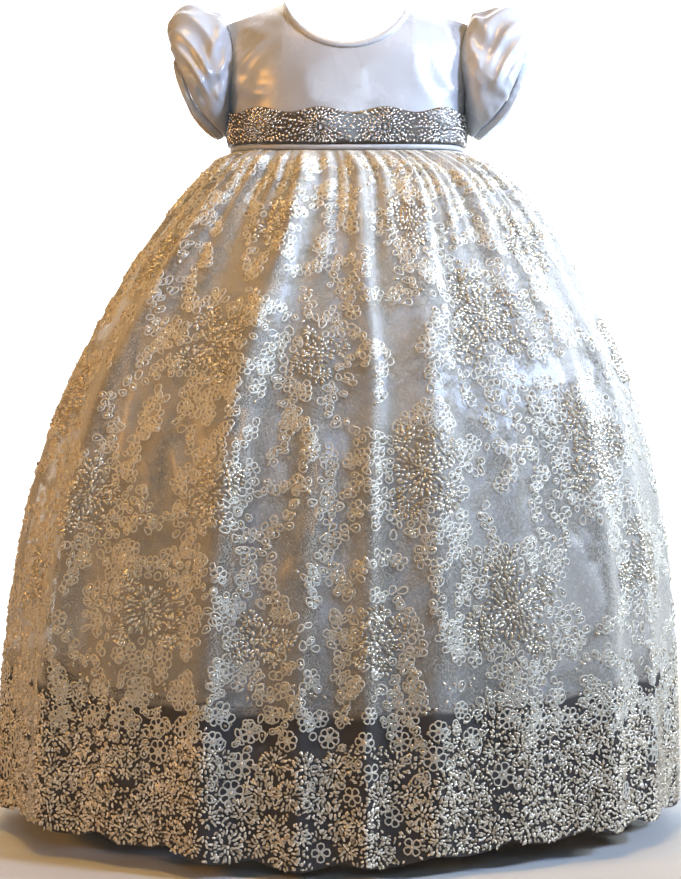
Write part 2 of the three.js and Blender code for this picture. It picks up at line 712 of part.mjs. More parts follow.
const MATERIALS = {
  satin: new THREE.MeshStandardMaterial({ color: 0xe9dcc8, roughness: 0.45, metalness: 0 }),
  lace_net: new THREE.MeshStandardMaterial({ color: 0xe6dac6, roughness: 0.7, metalness: 0 }),
  bead_work: new THREE.MeshStandardMaterial({ color: 0xd3cfc8, roughness: 0.3, metalness: 0 }),
  lining_satin: new THREE.MeshStandardMaterial({ color: 0xe2d3bd, roughness: 0.5, metalness: 0 }),
};

const gown = new THREE.Group();
gown.name = "christening_gown";

function add(name, geometry, slot) {
  const mesh = new THREE.Mesh(geometry, MATERIALS[slot]);
  MATERIALS[slot].name = slot;
  mesh.name = name;
  gown.add(mesh);
}

add("bodice_front", bodicePanel(-1, frontShares), "satin");
add("bodice_back_left", backPanel(-1), "satin");
add("bodice_back_right", backPanel(1), "satin");
add("neck_binding", neckBinding(), "satin");
for (const form of SLEEVES) {
  const handed = (geometry) => (form.hand > 0 ? geometry : mirrored(geometry));
  add(`sleeve_${form.name}`, handed(sleeve(form)), "satin");
  add(`cuff_${form.name}`, handed(cuff(form)), "satin");
}
add("belt", belt(), "bead_work");
add("waist_piping", waistPiping(), "satin");
add("lining_front", liningPanel(-1, frontAngle, 36), "lining_satin");
add("lining_back", liningPanel(1, backAngle, 24), "lining_satin");
add("net_front", netPanel(-1, frontAngle, FRONT_GATHERS, FRONT_COLUMNS), "lace_net");
add("net_back", netPanel(1, backAngle, BACK_GATHERS, BACK_COLUMNS), "lace_net");
BUTTON_Z.forEach((z, i) => add(`button_${i + 1}`, backButton(z), "satin"));

export default gown;
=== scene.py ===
"""Christening gown: cloth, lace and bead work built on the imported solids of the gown.

Lengths in the tables and functions are millimetres; put_mesh turns them into metres. Angles go
round the gown in degrees from the front (0) towards +X (90), the back (180) and -X (270). Drops
are measured down from the skirt's top edge. On the stage, lengths are metres.
"""

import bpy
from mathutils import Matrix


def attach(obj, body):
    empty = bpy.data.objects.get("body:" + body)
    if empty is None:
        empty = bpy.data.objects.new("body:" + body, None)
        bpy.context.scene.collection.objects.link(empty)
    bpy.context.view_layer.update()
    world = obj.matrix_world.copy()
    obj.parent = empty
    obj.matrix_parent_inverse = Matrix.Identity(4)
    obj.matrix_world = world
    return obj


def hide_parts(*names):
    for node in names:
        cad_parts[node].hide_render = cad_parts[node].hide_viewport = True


bl_info = {
    "name": "Christening gown",
    "version": (1, 0, 0),
    "blender": (4, 5, 0),
    "location": "View3D > Sidebar > Gown",
    "description": "Builds the satin, net, lace and bead work of a christening gown",
    "category": "Object",
}

import bpy
import numpy as np
from bpy.props import FloatProperty, FloatVectorProperty, IntProperty, PointerProperty
from bpy.types import Operator, Panel, PropertyGroup

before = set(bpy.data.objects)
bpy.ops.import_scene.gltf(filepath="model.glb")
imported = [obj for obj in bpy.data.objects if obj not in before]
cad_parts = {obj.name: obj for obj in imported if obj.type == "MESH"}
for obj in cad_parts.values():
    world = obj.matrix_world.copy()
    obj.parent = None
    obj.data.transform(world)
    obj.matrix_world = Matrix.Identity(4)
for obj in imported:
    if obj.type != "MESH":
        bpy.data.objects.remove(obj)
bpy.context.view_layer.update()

MM = 0.001

# About one full turn in radians, for random starts
FULL_TURN = 6.28

# Bodice
SQUARENESS = 2.2
SEAM_GAP = 0.4
SHOULDER_HALF = 92.0
SHOULDER_DROP = 16.0
WAIST_HALF_WIDTH = 86.5
BODICE_DEPTH = 57.0
SHOULDER_TURN = 24.0
NECK_HALF = 48.0
NECK_DEPTH = {-1: 43.5, 1: 29.0}
ARMHOLE_CUT = 7.0
UNDERARM_Z = -75.0
WAIST_Z = -110.0
WAIST_DIP = 5.0

# Sleeves: side, middle of the cuff seam, tilt of the cuff and how far the puff stands out.
SLEEVES = [
    {"name": "left", "hand": -1, "cuff_x": 113.0, "cuff_z": -71.0, "tilt": 24.0, "puff_out": 22.0},
    {"name": "right", "hand": 1, "cuff_x": 117.0, "cuff_z": -72.0, "tilt": 27.0, "puff_out": 18.0},
]
CUFF_HALF_LENGTH = 32.5
CUFF_HALF_DEPTH = 27.0
CUFF_WIDTH = 5.6
CUFF_BOW = 4.5
CUFF_DRAWN = 6.5
PUFF_RISE = 27.0
PUFF_FRONT = 13.0
SLEEVE_GATHERS = 8
SLEEVE_GATHER_DEPTH = 0.8
SLEEVE_COLUMNS = 108
SLEEVE_ROWS = 44
CUFF_COLUMNS = 96

# About the length of one degree round a sleeve, and of its run from armhole to cuff
SLEEVE_MM_PER_DEG = 0.55
SLEEVE_RUN = 60

# Corners of the section of a cuff, a binding or the piping
TUBE_SIDES = 14

# Belt
BELT_TOP_Z = -87.0
BELT_BOTTOM_Z = -109.4
BELT_SCALLOP = 4.0
BELT_MEDALLIONS = 10
BELT_RAYS = 22
BELT_SHIFT = 4.0
BELT_OUT = 2.5
BELT_IN = 0.5
BELT_MIDDLE = 11.2
OPEN_BACK = 1.2

# Rolled edges: half sizes of the neck binding's section, and the radius of the piping.
BINDING_HALF_HEIGHT = 2.6
BINDING_HALF_DEPTH = 1.5
BINDING_LIFT = 1.7
PIPING_RADIUS = 1.9
PIPING_COLUMNS = 200

# Skirt
SKIRT_TOP_Z = -114.6
SKIRT_LENGTH = 498.0
LINING_LENGTH = 396.0
LINING_LIFT = 14.0
FRONT_GATHERS = 16
BACK_GATHERS = 11
GATHER_DEPTH = 2.0
GATHER_FADE = 120.0
FOLD_SET_IN = 3.0
SCALLOPS = 26
SCALLOP_DEPTH = 5.0
HEM_LIFT = 12.0
HEM_LOW_SPAN = 24.0
BORDER_HEIGHT = 96.0
LINING_MM_PER_DEG = 3.0

# Lace: spacing of the loops and length of the beads, before the side seams and behind them.
MEDALLION_FRONT = (5.5, 3.8)
MEDALLION_BACK = (7.6, 4.8)
BORDER_BEAD_FRONT = 3.6
BORDER_BEAD_BACK = 4.8
BORDER_FILL_UP = 2.6
BORDER_FILL_ALONG = 2.9
BORDER_REACH = 118
BORDER_TOP = 98
BORDER_DIP = 26

# Rows of flowers of the border.
BORDER_ROWS = (
    # height, pitch, radius, shift
    (10.5, 21, 10.4, 0.0),
    (29, 21, 10.2, 0.5),
    (47, 21, 9.8, 0.1),
    (65, 22, 9.4, 0.6),
    (82, 26, 8.0, 0.3),
    (100, 34, 6.6, 0.2),
)

# Buttons of the back.
BUTTON_Z = (-34.0, -51.0, -68.0)
BUTTON_X = 6.0
BUTTON_RADIUS = 4.5
BUTTON_SIDES = 24

# Half width, half depth and sway of the skirt at each drop.
SKIRT_SECTIONS = np.array(
    [
        # drop, half width, half depth, sway
        (0, 87.5, 57.5, 0),
        (6, 99, 66, 2),
        (20, 116, 80, 6),
        (50, 142, 103, 6.2),
        (96, 171, 128, 3.6),
        (156, 200, 154, 2.4),
        (236, 224, 177, -1.2),
        (336, 241, 194, -4.2),
        (420, 246, 201, -6),
        (498, 247, 203, -6),
    ],
    float,
)

# Large folds of the skirt: a fold leans sideways over its foot by its lean times its height.
FOLDS = np.array(
    [
        # waist deg, hem deg, spread deg, depth, from share, lean
        (-74, -79, 8, 11, 0.2, 0.3),
        (-46, -54, 8, 18, 0.05, 0.4),
        (-31, -37, 7, 7, 0.3, 0.2),
        (-18, -22, 6, 21, 0, 0.4),
        (-5, -7, 4.5, 12, 0.3, 0.3),
        (1, 3, 3, 11, 0, 0.3),
        (15, 14, 6.5, 14, 0.08, 0.2),
        (28, 30, 7, 6, 0.3, -0.3),
        (40, 47, 7, 12, 0.15, 0.4),
        (55, 62, 7, 10, 0.1, -0.4),
        (74, 79, 7, 10, 0.2, 0.4),
        (101, 98, 7, 10, 0.15, 0.4),
        (122, 117, 7, 14, 0.05, -0.5),
        (139, 136, 7, 8, 0.25, 0.8),
        (158, 155, 7, 15, 0, 0.5),
        (174, 173, 6, 11, 0.05, -0.4),
        (188, 190, 6.5, 13, 0.05, 0.5),
        (206, 209, 7, 9, 0.2, -0.4),
        (224, 228, 7, 14, 0, 0.5),
        (243, 247, 7, 9, 0.1, -0.3),
        (260, 264, 7, 11, 0.2, 0.4),
    ],
    float,
)

# Lace medallions of the net.
MEDALLIONS = np.array(
    [
        # deg, drop, radius
        (-22, 58, 30),
        (14, 58, 30),
        (52, 72, 32),
        (-60, 84, 32),
        (-29, 151, 42),
        (-7, 156, 30),
        (29, 130, 50),
        (80, 156, 42),
        (-72, 188, 38),
        (-24, 250, 34),
        (12, 237, 46),
        (49, 224, 50),
        (-50, 256, 40),
        (-66, 318, 38),
        (-33, 332, 46),
        (-13, 349, 32),
        (5, 349, 32),
        (29, 331, 50),
        (63, 303, 46),
        (100, 90, 32),
        (135, 66, 32),
        (172, 70, 32),
        (208, 64, 32),
        (244, 80, 32),
        (117, 165, 38),
        (153, 150, 40),
        (190, 160, 40),
        (227, 152, 38),
        (262, 170, 36),
        (104, 250, 40),
        (135, 240, 40),
        (171, 252, 42),
        (208, 242, 40),
        (244, 254, 40),
        (120, 330, 40),
        (153, 338, 42),
        (189, 330, 40),
        (226, 340, 42),
        (258, 330, 38),
    ],
    float,
)

# Dents of the sleeves.
SLEEVE_DENTS = np.array(
    [
        # deg, along, spread deg, length share, depth
        (8, 0.2, 26, 0.16, 6),
        (70, 0.45, 14, 0.4, 3),
        (108, 0.6, 12, 0.35, 2.5),
        (-64, 0.5, 16, 0.4, 3),
        (-112, 0.6, 14, 0.35, 2.5),
    ],
    float,
)

# Fine creases of the sleeves: a line from one place to another, with its width and depth.
SLEEVE_CREASES = np.array(
    [
        # deg from, along from, deg to, along to, width, depth
        (10, 0.97, 60, 0.24, 5.4, 3.4),
        (18, 0.98, 84, 0.44, 5.0, 3.2),
        (28, 0.98, 102, 0.64, 4.6, 2.8),
        (36, 0.04, 72, 0.36, 6.0, 3.0),
        (70, 0.04, 98, 0.3, 6.0, 2.4),
        (104, 0.05, 116, 0.5, 7.0, 1.8),
        (62, 0.97, 92, 0.82, 4.0, 1.6),
        (-12, 0.97, -58, 0.28, 5.4, 3.4),
        (-20, 0.98, -86, 0.48, 5.0, 3.0),
        (-32, 0.98, -104, 0.68, 4.6, 2.6),
        (-40, 0.04, -76, 0.4, 6.0, 3.0),
        (-78, 0.04, -104, 0.32, 6.0, 2.4),
        (-112, 0.06, -120, 0.5, 7.0, 1.8),
    ],
    float,
)

# Creases of the bodice: side (front -1, back 1), a line across it, width and depth.
BODICE_CREASES = np.array(
    [
        # side, x from, z from, x to, z to, width, depth
        (-1, -60, -36, -86, -72, 4.6, 2.4),
        (-1, -84, -62, -60, -76, 4.0, 1.6),
        (-1, -74, -20, -52, -32, 4.6, 1.2),
        (-1, 64, -38, 82, -74, 5.0, 1.6),
        (-1, 52, -44, 62, -80, 6.0, 1.0),
        (-1, 74, -22, 86, -44, 4.4, 1.6),
        (-1, 70, -78, 84, -62, 4.0, 1.4),
        (-1, -30, -56, -24, -86, 11.0, 0.7),
        (-1, 14, -54, 22, -86, 12.0, 0.6),
        (1, -64, -34, -82, -70, 4.4, 2.8),
        (1, 62, -36, 82, -72, 4.4, 3.0),
        (1, -20, -40, -26, -84, 7.0, 1.7),
        (1, 30, -44, 26, -84, 7.0, 1.7),
        (1, -52, -24, -74, -34, 4.0, 1.8),
        (1, 52, -22, 76, -36, 4.0, 1.8),
    ],
    float,
)

# Creases of the lining, seen through the net.
LINING_CREASES = np.array(
    [
        # deg from, drop from, deg to, drop to, width, depth
        (22, 196, 30, 262, 7, 4.0),
        (30, 204, 34, 246, 6, 3.2),
        (-9, 205, -14, 322, 9, 5.0),
        (-6, 300, -15, 318, 6, 3.0),
        (52, 120, 60, 172, 8, 3.6),
        (60, 168, 74, 164, 6, 3.0),
        (-40, 210, -34, 320, 12, 4.0),
        (40, 280, 44, 390, 12, 4.0),
        (132, 150, 138, 300, 11, 4.0),
        (178, 120, 184, 330, 12, 5.0),
        (222, 160, 216, 320, 11, 4.0),
        (262, 190, 256, 330, 10, 4.0),
    ],
    float,
)


# Small formulas


def ease(t):
    """Smooth step: 3t^2 - 2t^3 with t held between 0 and 1."""
    t = np.clip(t, 0, 1)
    return t * t * (3 - 2 * t)


def hump(t):
    """Bell curve exp(-t^2)."""
    return np.exp(-np.square(t))


def turn(a, b):
    """Shortest signed difference of two angles in degrees."""
    return (np.asarray(a) - b + 180) % 360 - 180


def signed_power(value, power):
    """Magnitude raised to a power, with the sign kept."""
    return np.sign(value) * np.abs(value) ** power


def unit(v):
    """Vectors divided by their lengths."""
    return v / np.maximum(np.linalg.norm(v, axis=-1, keepdims=True), 1e-9)


def column(table, index, at):
    """Cubic curve through a table column, with each row's slope taken from the rows on both sides."""
    key = table[:, 0]
    value = table[:, index]
    low = np.maximum(np.arange(len(key)) - 1, 0)
    high = np.minimum(np.arange(len(key)) + 1, len(key) - 1)
    slope = (value[high] - value[low]) / (key[high] - key[low])
    at = np.clip(at, key[0], key[-1])
    i = np.clip(np.searchsorted(key, at, side="right") - 1, 0, len(key) - 2)
    span = key[i + 1] - key[i]
    t = (at - key[i]) / span
    t2 = t * t
    t3 = t2 * t
    start = (2 * t3 - 3 * t2 + 1) * value[i] + (t3 - 2 * t2 + t) * span * slope[i]
    end = (3 * t2 - 2 * t3) * value[i + 1] + (t3 - t2) * span * slope[i + 1]
    return start + end


def tent(t):
    """Exponential tent of height 1, rounded at the top."""
    return np.exp(1.35 * (0.3 - np.hypot(t, 0.3)))


def crease(u, v, line, width, depth):
    """Height of a crease along a bent line: a tent across it with a shallow trough on each side,
    fading out at both ends."""
    u0, v0, u1, v1 = line
    du = u1 - u0
    dv = v1 - v0
    length = np.hypot(du, dv)
    along = ((u - u0) * du + (v - v0) * dv) / length**2
    off = ((v - v0) * du - (u - u0) * dv) / length
    bend = (off + 0.12 * length * np.sin(np.pi * np.clip(along, 0, 1))) / width
    fade = ease((along + 0.12) / 0.3) * ease((1.12 - along) / 0.3)
    troughs = 0.42 * hump((bend - 1.7) / 1.2) + 0.3 * hump((bend + 1.8) / 1.2)
    return depth * fade * (tent(1.5 * bend) - troughs)


# Skirt


def front_angle(share):
    """Angle at a share of the front: a cubic, closer together in the middle than at the seams."""
    return 90 * (0.78 * share + 0.22 * share**3)


FRONT_SHARES = np.linspace(-1, 1, 401)
FRONT_ANGLES = front_angle(FRONT_SHARES)


def gather_wave(deg, drop):
    """Gathers: a cosine round the waist, with more waves before the side seams than behind and a
    finer uneven wave on top, fading down the skirt as a bell curve."""
    lean = turn(deg, 0)
    front = np.interp(lean, FRONT_ANGLES, FRONT_SHARES) * FRONT_GATHERS
    back = turn(deg, 180) / 90 * BACK_GATHERS
    phase = np.pi * np.where(np.abs(lean) <= 90, front, back)
    fine = 0.8 * np.cos(2 * phase + 1.6 * np.sin(0.37 * phase)) * hump(drop / 70)
    uneven = 1.1 + 0.4 * np.sin(0.53 * phase + 0.7)
    coarse = uneven * np.cos(phase) * hump(drop / GATHER_FADE)
    return GATHER_DEPTH * ease(drop / 5) * (coarse + fine)


def folds(deg, drop):
    """Large folds round the skirt: their middle moves from waist angle to hem angle, their depth opens
    with the drop and their crest is an exponential tent rounded at the top. Gives the height outwards
    and the lean sideways."""
    t = drop / SKIRT_LENGTH
    height = -FOLD_SET_IN * ease(t * 3)
    side = np.zeros_like(height)
    for waist, hem, spread, depth, start, lean in FOLDS:
        middle = waist + (hem - waist) * ease(t * 2.6)
        opened = depth * ease((t - start + 0.22) / 0.55) * ease((drop + 3) / 16)
        rise = opened * tent(turn(deg, middle) / spread)
        height = height + rise
        side = side + lean * rise
    return height, side


def waist_dip(deg):
    """The waist line dips at the front by the square of the cosine."""
    return WAIST_DIP * np.maximum(np.cos(np.radians(deg)), 0) ** 2


def skirt(deg, drop, folded=1.0, inset=0.0, shift=0.0, length=SKIRT_LENGTH):
    """Skirt point: an oval of the section at that drop, moved out level by folds and gathers, less
    inset, and sideways by the lean of the folds."""
    deg, drop = np.broadcast_arrays(np.asarray(deg, float), np.asarray(drop, float))
    s = np.sin(np.radians(deg))
    c = np.cos(np.radians(deg))
    wide = column(SKIRT_SECTIONS, 1, drop)
    deep = column(SKIRT_SECTIONS, 2, drop)
    power = 2 / (SQUARENESS + (2 - SQUARENESS) * ease(drop / 80))
    normal = unit(np.stack([s / wide, -c / deep, np.zeros_like(s)], -1))
    along = unit(np.stack([wide * c, deep * s, np.zeros_like(s)], -1))
    height, side = folds(deg, drop)
    out = folded * (height + gather_wave(deg, drop)) - inset
    side = folded * side
    x = wide * signed_power(s, power) + column(SKIRT_SECTIONS, 3, drop) + shift
    y = -deep * signed_power(c, power)
    z = SKIRT_TOP_Z - drop - waist_dip(deg) * (1 - drop / length)
    return np.stack([x, y, z], -1) + normal * out[..., None] + along * side[..., None]


def hem_drop(deg):
    """Length of the net: scallops all round and a lower span in the middle of the front."""
    wave = np.sin(np.radians(np.asarray(deg) * SCALLOPS / 2))
    scallop = SCALLOP_DEPTH * (1 - np.abs(wave))
    lift = HEM_LIFT * (1 - hump(turn(deg, -4) / HEM_LOW_SPAN))
    return SKIRT_LENGTH - scallop - lift


def lining_drop(deg):
    """Length of the lining, shorter towards the sides by the square of the sine."""
    return LINING_LENGTH - LINING_LIFT * np.sin(np.radians(deg)) ** 2


def skirt_frame(deg, drop):
    """Point and axes on the net, from small steps both ways: along the round, up and outwards."""
    point = skirt(deg, drop)
    across = unit(skirt(deg + 0.15, drop) - skirt(deg - 0.15, drop))
    up = unit(skirt(deg, drop - 0.7) - skirt(deg, drop + 0.7))
    out = unit(np.cross(across, up))
    return point, across, np.cross(out, across), out


def mm_per_degree(deg, drop):
    """Length of one degree round the plain oval."""
    wide = column(SKIRT_SECTIONS, 1, drop)
    deep = column(SKIRT_SECTIONS, 2, drop)
    return np.hypot(wide * np.cos(np.radians(deg)), deep * np.sin(np.radians(deg))) * np.pi / 180


def mm_per_drop(deg, drop):
    """Length along the cloth of one millimetre of drop."""
    return np.linalg.norm(skirt(deg, drop + 0.5, 0) - skirt(deg, drop - 0.5, 0), axis=-1)


# Bodice


def bodice_half(z):
    """Half width of the bodice at a height."""
    return WAIST_HALF_WIDTH + (SHOULDER_HALF - WAIST_HALF_WIDTH) * ease((z - WAIST_Z) / 60)


def shoulder_z(x):
    """Height of the shoulder line: level at the neck, then falling in a straight line."""
    return -SHOULDER_DROP * np.maximum(np.abs(x) - NECK_HALF, 0) / (SHOULDER_HALF - NECK_HALF)


def bodice_y(side, x, z):
    """Depth before or behind the shoulder line: a rounded oval across, times tanh of the depth below
    the shoulder."""
    across = np.clip(np.abs(x) / bodice_half(z), 0, 1)
    rounded = (1 - across**SQUARENESS) ** (1 / SQUARENESS)
    below = np.maximum(shoulder_z(x) - z, 0)
    return side * (SEAM_GAP / 2 + BODICE_DEPTH * rounded * np.tanh(below / SHOULDER_TURN))


def armhole_cut(z):
    """How far the armhole is cut in from the side, a raised sine from underarm to shoulder."""
    t = np.clip((z - UNDERARM_Z) / (-SHOULDER_DROP - UNDERARM_Z), 0, 1)
    return ARMHOLE_CUT * np.sin(np.pi * t) ** 0.8


def panel(side, share, height):
    """Bodice panel: share runs from the centre (0) to the edge (1), and height blends straight from
    the waist (0) to the neck and shoulder line (1)."""
    across = np.clip(np.abs(share), 0, 1)
    top_x = across * SHOULDER_HALF
    neck = -NECK_DEPTH[side] * np.sqrt(np.maximum(1 - (top_x / NECK_HALF) ** 2, 0))
    top = np.where(top_x >= NECK_HALF, shoulder_z(top_x), neck)
    dip = WAIST_DIP * np.maximum(1 - across**2, 0) if side < 0 else 0.0
    z = (WAIST_Z - dip) * (1 - height) + top * height
    x = across * bodice_half(z) - armhole_cut(z) * np.maximum((across - 0.6) / 0.4, 0) ** 2
    return np.stack([np.where(share < 0, -x, x), bodice_y(side, x, z), z], -1)


def grid_normals(points, ring=False):
    """Normals of a grid from the differences of neighbouring points."""
    if ring:
        across = np.roll(points, -1, 1) - np.roll(points, 1, 1)
    else:
        across = np.gradient(points, axis=1)
    return unit(np.cross(across, np.gradient(points, axis=0)))


# Sleeves


def armhole(deg):
    """Armhole edge of the right side, from the shoulder tip (0) by the front to the underarm (180)."""
    side = np.where(turn(deg, 0) >= 0, -1, 1)
    down = (1 - np.cos(np.radians(deg))) / 2
    z = -SHOULDER_DROP + (UNDERARM_Z + SHOULDER_DROP) * down
    x = bodice_half(z) - armhole_cut(z)
    return np.stack([x + SEAM_GAP + 0.3, bodice_y(side, x, z), z], -1)


def cuff_axis(form):
    """Direction of the arm through the cuff."""
    tilt = np.radians(form["tilt"])
    return np.array([np.cos(tilt), 0, -np.sin(tilt)])


def cuff_loop(form, deg, past):
    """Oval of the cuff seam, moved along the arm, with its front and back bowed outwards by a squared
    sine and its underside drawn in to the bodice."""
    axis = cuff_axis(form)
    long = CUFF_HALF_LENGTH * np.cos(np.radians(deg))
    wide = CUFF_HALF_DEPTH * np.sin(np.radians(deg))
    at = np.stack([form["cuff_x"] - long * axis[2], -wide, form["cuff_z"] + long * axis[0]], -1)
    bow = CUFF_BOW * np.sin(np.radians(deg)) ** 2
    drawn = CUFF_DRAWN * np.maximum(-np.cos(np.radians(deg)), 0) ** 2
    return at + axis * (past + bow)[..., None] - np.stack([drawn, 0 * drawn, 0 * drawn], -1)


def sleeve(form, deg, along):
    """Sleeve: the straight blend from armhole to cuff, puffed by a power of a sine, with gathers as a
    cosine round it, wide dents as bell curves and fine creases along lines."""
    t = np.clip(along, 0, 1)
    top = np.maximum(np.cos(np.radians(deg)), 0)
    under = np.maximum(-np.cos(np.radians(deg)), 0)
    face = np.sin(np.radians(deg))
    puff = np.maximum(np.sin(np.pi * t**0.9), 0) ** 0.6
    cuff = cuff_loop(form, deg, np.zeros_like(t))
    at = armhole(deg) * (1 - t)[..., None] + cuff * t[..., None]
    out_x = form["puff_out"] * top * (0.1 + 1.2 * t) + 3 * np.abs(face) - 4 * under
    out = np.stack([out_x, -PUFF_FRONT * face, PUFF_RISE * top - 3 * under], -1)
    at = at + out * puff[..., None]
    heart0 = (armhole(0.0) + armhole(180.0)) / 2
    heart1 = np.array([form["cuff_x"], 0, form["cuff_z"]])
    heart = heart0 * (1 - t)[..., None] + heart1 * t[..., None]
    wave = np.cos(np.radians(deg * SLEEVE_GATHERS)) * (0.35 + 0.65 * t) * puff
    wave = wave * (1.1 - 0.6 * under)
    ripple = SLEEVE_GATHER_DEPTH * wave
    ends = ease(t / 0.12) * ease((1 - t) / 0.12)
    for middle, place, spread, length, depth in SLEEVE_DENTS:
        dent = hump(turn(deg, middle) / spread)
        ripple = ripple - depth * dent * hump((t - place) / length) * ends
    near_end = hump((1 - t) / 0.22) + 0.8 * hump(t / 0.16)
    fine = np.cos(np.radians(deg * 26) + 1.2 * np.sin(np.radians(deg * 5)))
    shown = ease(t / 0.05) * ease((1 - t) / 0.04) * (0.4 + 0.6 * (1 - under))
    ripple = ripple + 0.55 * fine * near_end * shown
    lean = turn(deg, -8 * form["hand"]) * SLEEVE_MM_PER_DEG
    scale = np.array([SLEEVE_MM_PER_DEG, SLEEVE_RUN, SLEEVE_MM_PER_DEG, SLEEVE_RUN])
    for *line, width, depth in SLEEVE_CREASES:
        ripple = ripple + crease(lean, t * SLEEVE_RUN, line * scale, width, depth) * ends
    return at + unit(at - heart) * ripple[..., None]


# Waist ring


def waist_ring(deg, z, out):
    """Oval of the bodice at a height, moved out level along its own normal."""
    s = np.sin(np.radians(deg))
    c = np.cos(np.radians(deg))
    half = bodice_half(z)
    power = 2 / SQUARENESS
    x = half * signed_power(s, power)
    point = np.stack([x, -BODICE_DEPTH * signed_power(c, power), z + 0 * s], -1)
    side = signed_power(s, 2 - power) / half
    fore = -signed_power(c, 2 - power) / BODICE_DEPTH
    normal = unit(np.stack([side, fore, np.zeros_like(side)], -1))
    return point + normal * np.asarray(out)[..., None]


WAIST_FINE = np.linspace(-180, 180, 1441)
WAIST_LEVEL = np.full_like(WAIST_FINE, BELT_TOP_Z)
WAIST_EDGE = waist_ring(WAIST_FINE, WAIST_LEVEL, np.zeros_like(WAIST_FINE))
WAIST_STEPS = np.linalg.norm(np.diff(WAIST_EDGE, axis=0), axis=1)
WAIST_RUN = np.concatenate([[0], np.cumsum(WAIST_STEPS)])
WAIST_TOTAL = WAIST_RUN[-1]


def waist_angle(run):
    """Angle at a length round the waist, measured from the centre back."""
    return np.interp(run, WAIST_RUN, WAIST_FINE)


def belt_near(run):
    """Closeness to a belt medallion: a raised cosine, 1 at its middle."""
    off = (run - BELT_SHIFT) / (WAIST_TOTAL / BELT_MEDALLIONS)
    return 0.5 - 0.5 * np.cos(2 * np.pi * off)


def belt_level(run, height):
    """Angle and level on the belt: height 0 is its lower edge and 1 its scalloped top edge."""
    deg = waist_angle(run)
    top = BELT_TOP_Z + BELT_SCALLOP * belt_near(run)
    return deg, BELT_BOTTOM_Z + (top - BELT_BOTTOM_Z) * height - waist_dip(deg)


def belt_point(run, height, out):
    """Belt: the waist ring, moved out further by a sine of the height near each medallion."""
    deg, z = belt_level(run, height)
    rise = 1.6 * np.sin(np.pi * np.clip(height, 0, 1)) * belt_near(run)
    return waist_ring(deg, z, out + rise)


# Meshes


def grid_quads(rows, cols, ring=False):
    """Corner numbers of the cells of a grid."""
    number = np.arange(rows * cols).reshape(rows, cols)
    if ring:
        number = np.concatenate([number, number[:, :1]], 1)
    low = number[:-1]
    high = number[1:]
    return np.stack([low[:, :-1], low[:, 1:], high[:, 1:], high[:, :-1]], -1).reshape(-1, 4)


def put_mesh(name, points, faces, material, uv=None, values=None):
    """Makes a smooth mesh object in metres at the origin. Each array of faces has its own number of
    corners."""
    points = np.asarray(points, float).reshape(-1, 3)
    corners = np.concatenate([np.asarray(f).reshape(-1) for f in faces]).astype(np.int32)
    counts = np.concatenate([np.full(len(f), np.shape(f)[1]) for f in faces])
    starts = np.concatenate([[0], np.cumsum(counts)[:-1]]).astype(np.int32)
    mesh = bpy.data.meshes.new(name)
    mesh.vertices.add(len(points))
    mesh.vertices.foreach_set("co", (points * MM).astype(np.float32).ravel())
    mesh.loops.add(len(corners))
    mesh.loops.foreach_set("vertex_index", corners)
    mesh.polygons.add(len(counts))
    mesh.polygons.foreach_set("loop_start", starts)
    mesh.update(calc_edges=True)
    mesh.polygons.foreach_set("use_smooth", np.ones(len(counts), bool))
    if uv is not None:
        layer = mesh.uv_layers.new(name="cloth")
        flat = np.asarray(uv, float).reshape(-1, 2)[corners] * MM
        layer.data.foreach_set("uv", flat.astype(np.float32).ravel())
    for key, value in (values or {}).items():
        attribute = mesh.attributes.new(key, "FLOAT", "POINT")
        attribute.data.foreach_set("value", np.asarray(value, np.float32).ravel())
    if mesh.validate():
        raise RuntimeError(f"{name}: the mesh had faulty faces")
    mesh.materials.append(material)
    piece = bpy.data.objects.new(name, mesh)
    bpy.context.scene.collection.objects.link(piece)
    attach(piece, "root")
    return piece


def cloth_uv(points):
    """Flat lengths of a grid of cloth: running sums of the steps along rows and columns."""
    across = np.linalg.norm(np.diff(points, axis=1), axis=-1)
    down = np.linalg.norm(np.diff(points, axis=0), axis=-1)
    u = np.concatenate([np.zeros((len(points), 1)), np.cumsum(across, 1)], 1)
    v = np.concatenate([np.zeros((1, points.shape[1])), np.cumsum(down, 0)], 0)
    return np.stack([u - u.mean(1, keepdims=True), v], -1)


def shell(outer, inner, ring=False):
    """Closed wall between two grids of one size: both faces and the strips round the edges."""
    rows, cols = outer.shape[:2]
    total = rows * cols
    face = grid_quads(rows, cols, ring)
    back = face[:, ::-1] + total
    number = np.arange(total).reshape(rows, cols)
    first = number[0]
    last = number[-1]
    if ring:
        first = np.append(first, first[0])
        last = np.append(last, last[0])
    strips = [
        np.stack([first[1:], first[:-1], first[:-1] + total, first[1:] + total], -1),
        np.stack([last[:-1], last[1:], last[1:] + total, last[:-1] + total], -1),
    ]
    if not ring:
        left = number[:, 0]
        right = number[:, -1]
        strips.append(np.stack([left[:-1], left[1:], left[1:] + total, left[:-1] + total], -1))
        strips.append(np.stack([right[1:], right[:-1], right[:-1] + total, right[1:] + total], -1))
    points = np.concatenate([outer.reshape(-1, 3), inner.reshape(-1, 3)])
    quads = np.concatenate([face, back, *strips])
    a, b, c, d = (points[quads[:, k]] for k in range(4))
    volume = np.einsum("ij,ij->", a, np.cross(b, c)) + np.einsum("ij,ij->", a, np.cross(c, d))
    return points, quads if volume > 0 else quads[:, ::-1]


def put_shell(name, outer, inner, material, ring=False):
    """Wall of cloth as an object, with flat lengths as its UV."""
    points, quads = shell(outer, inner, ring)
    uv = cloth_uv(outer).reshape(-1, 2)
    return put_mesh(name, points, [quads], material, uv=np.concatenate([uv, uv]))


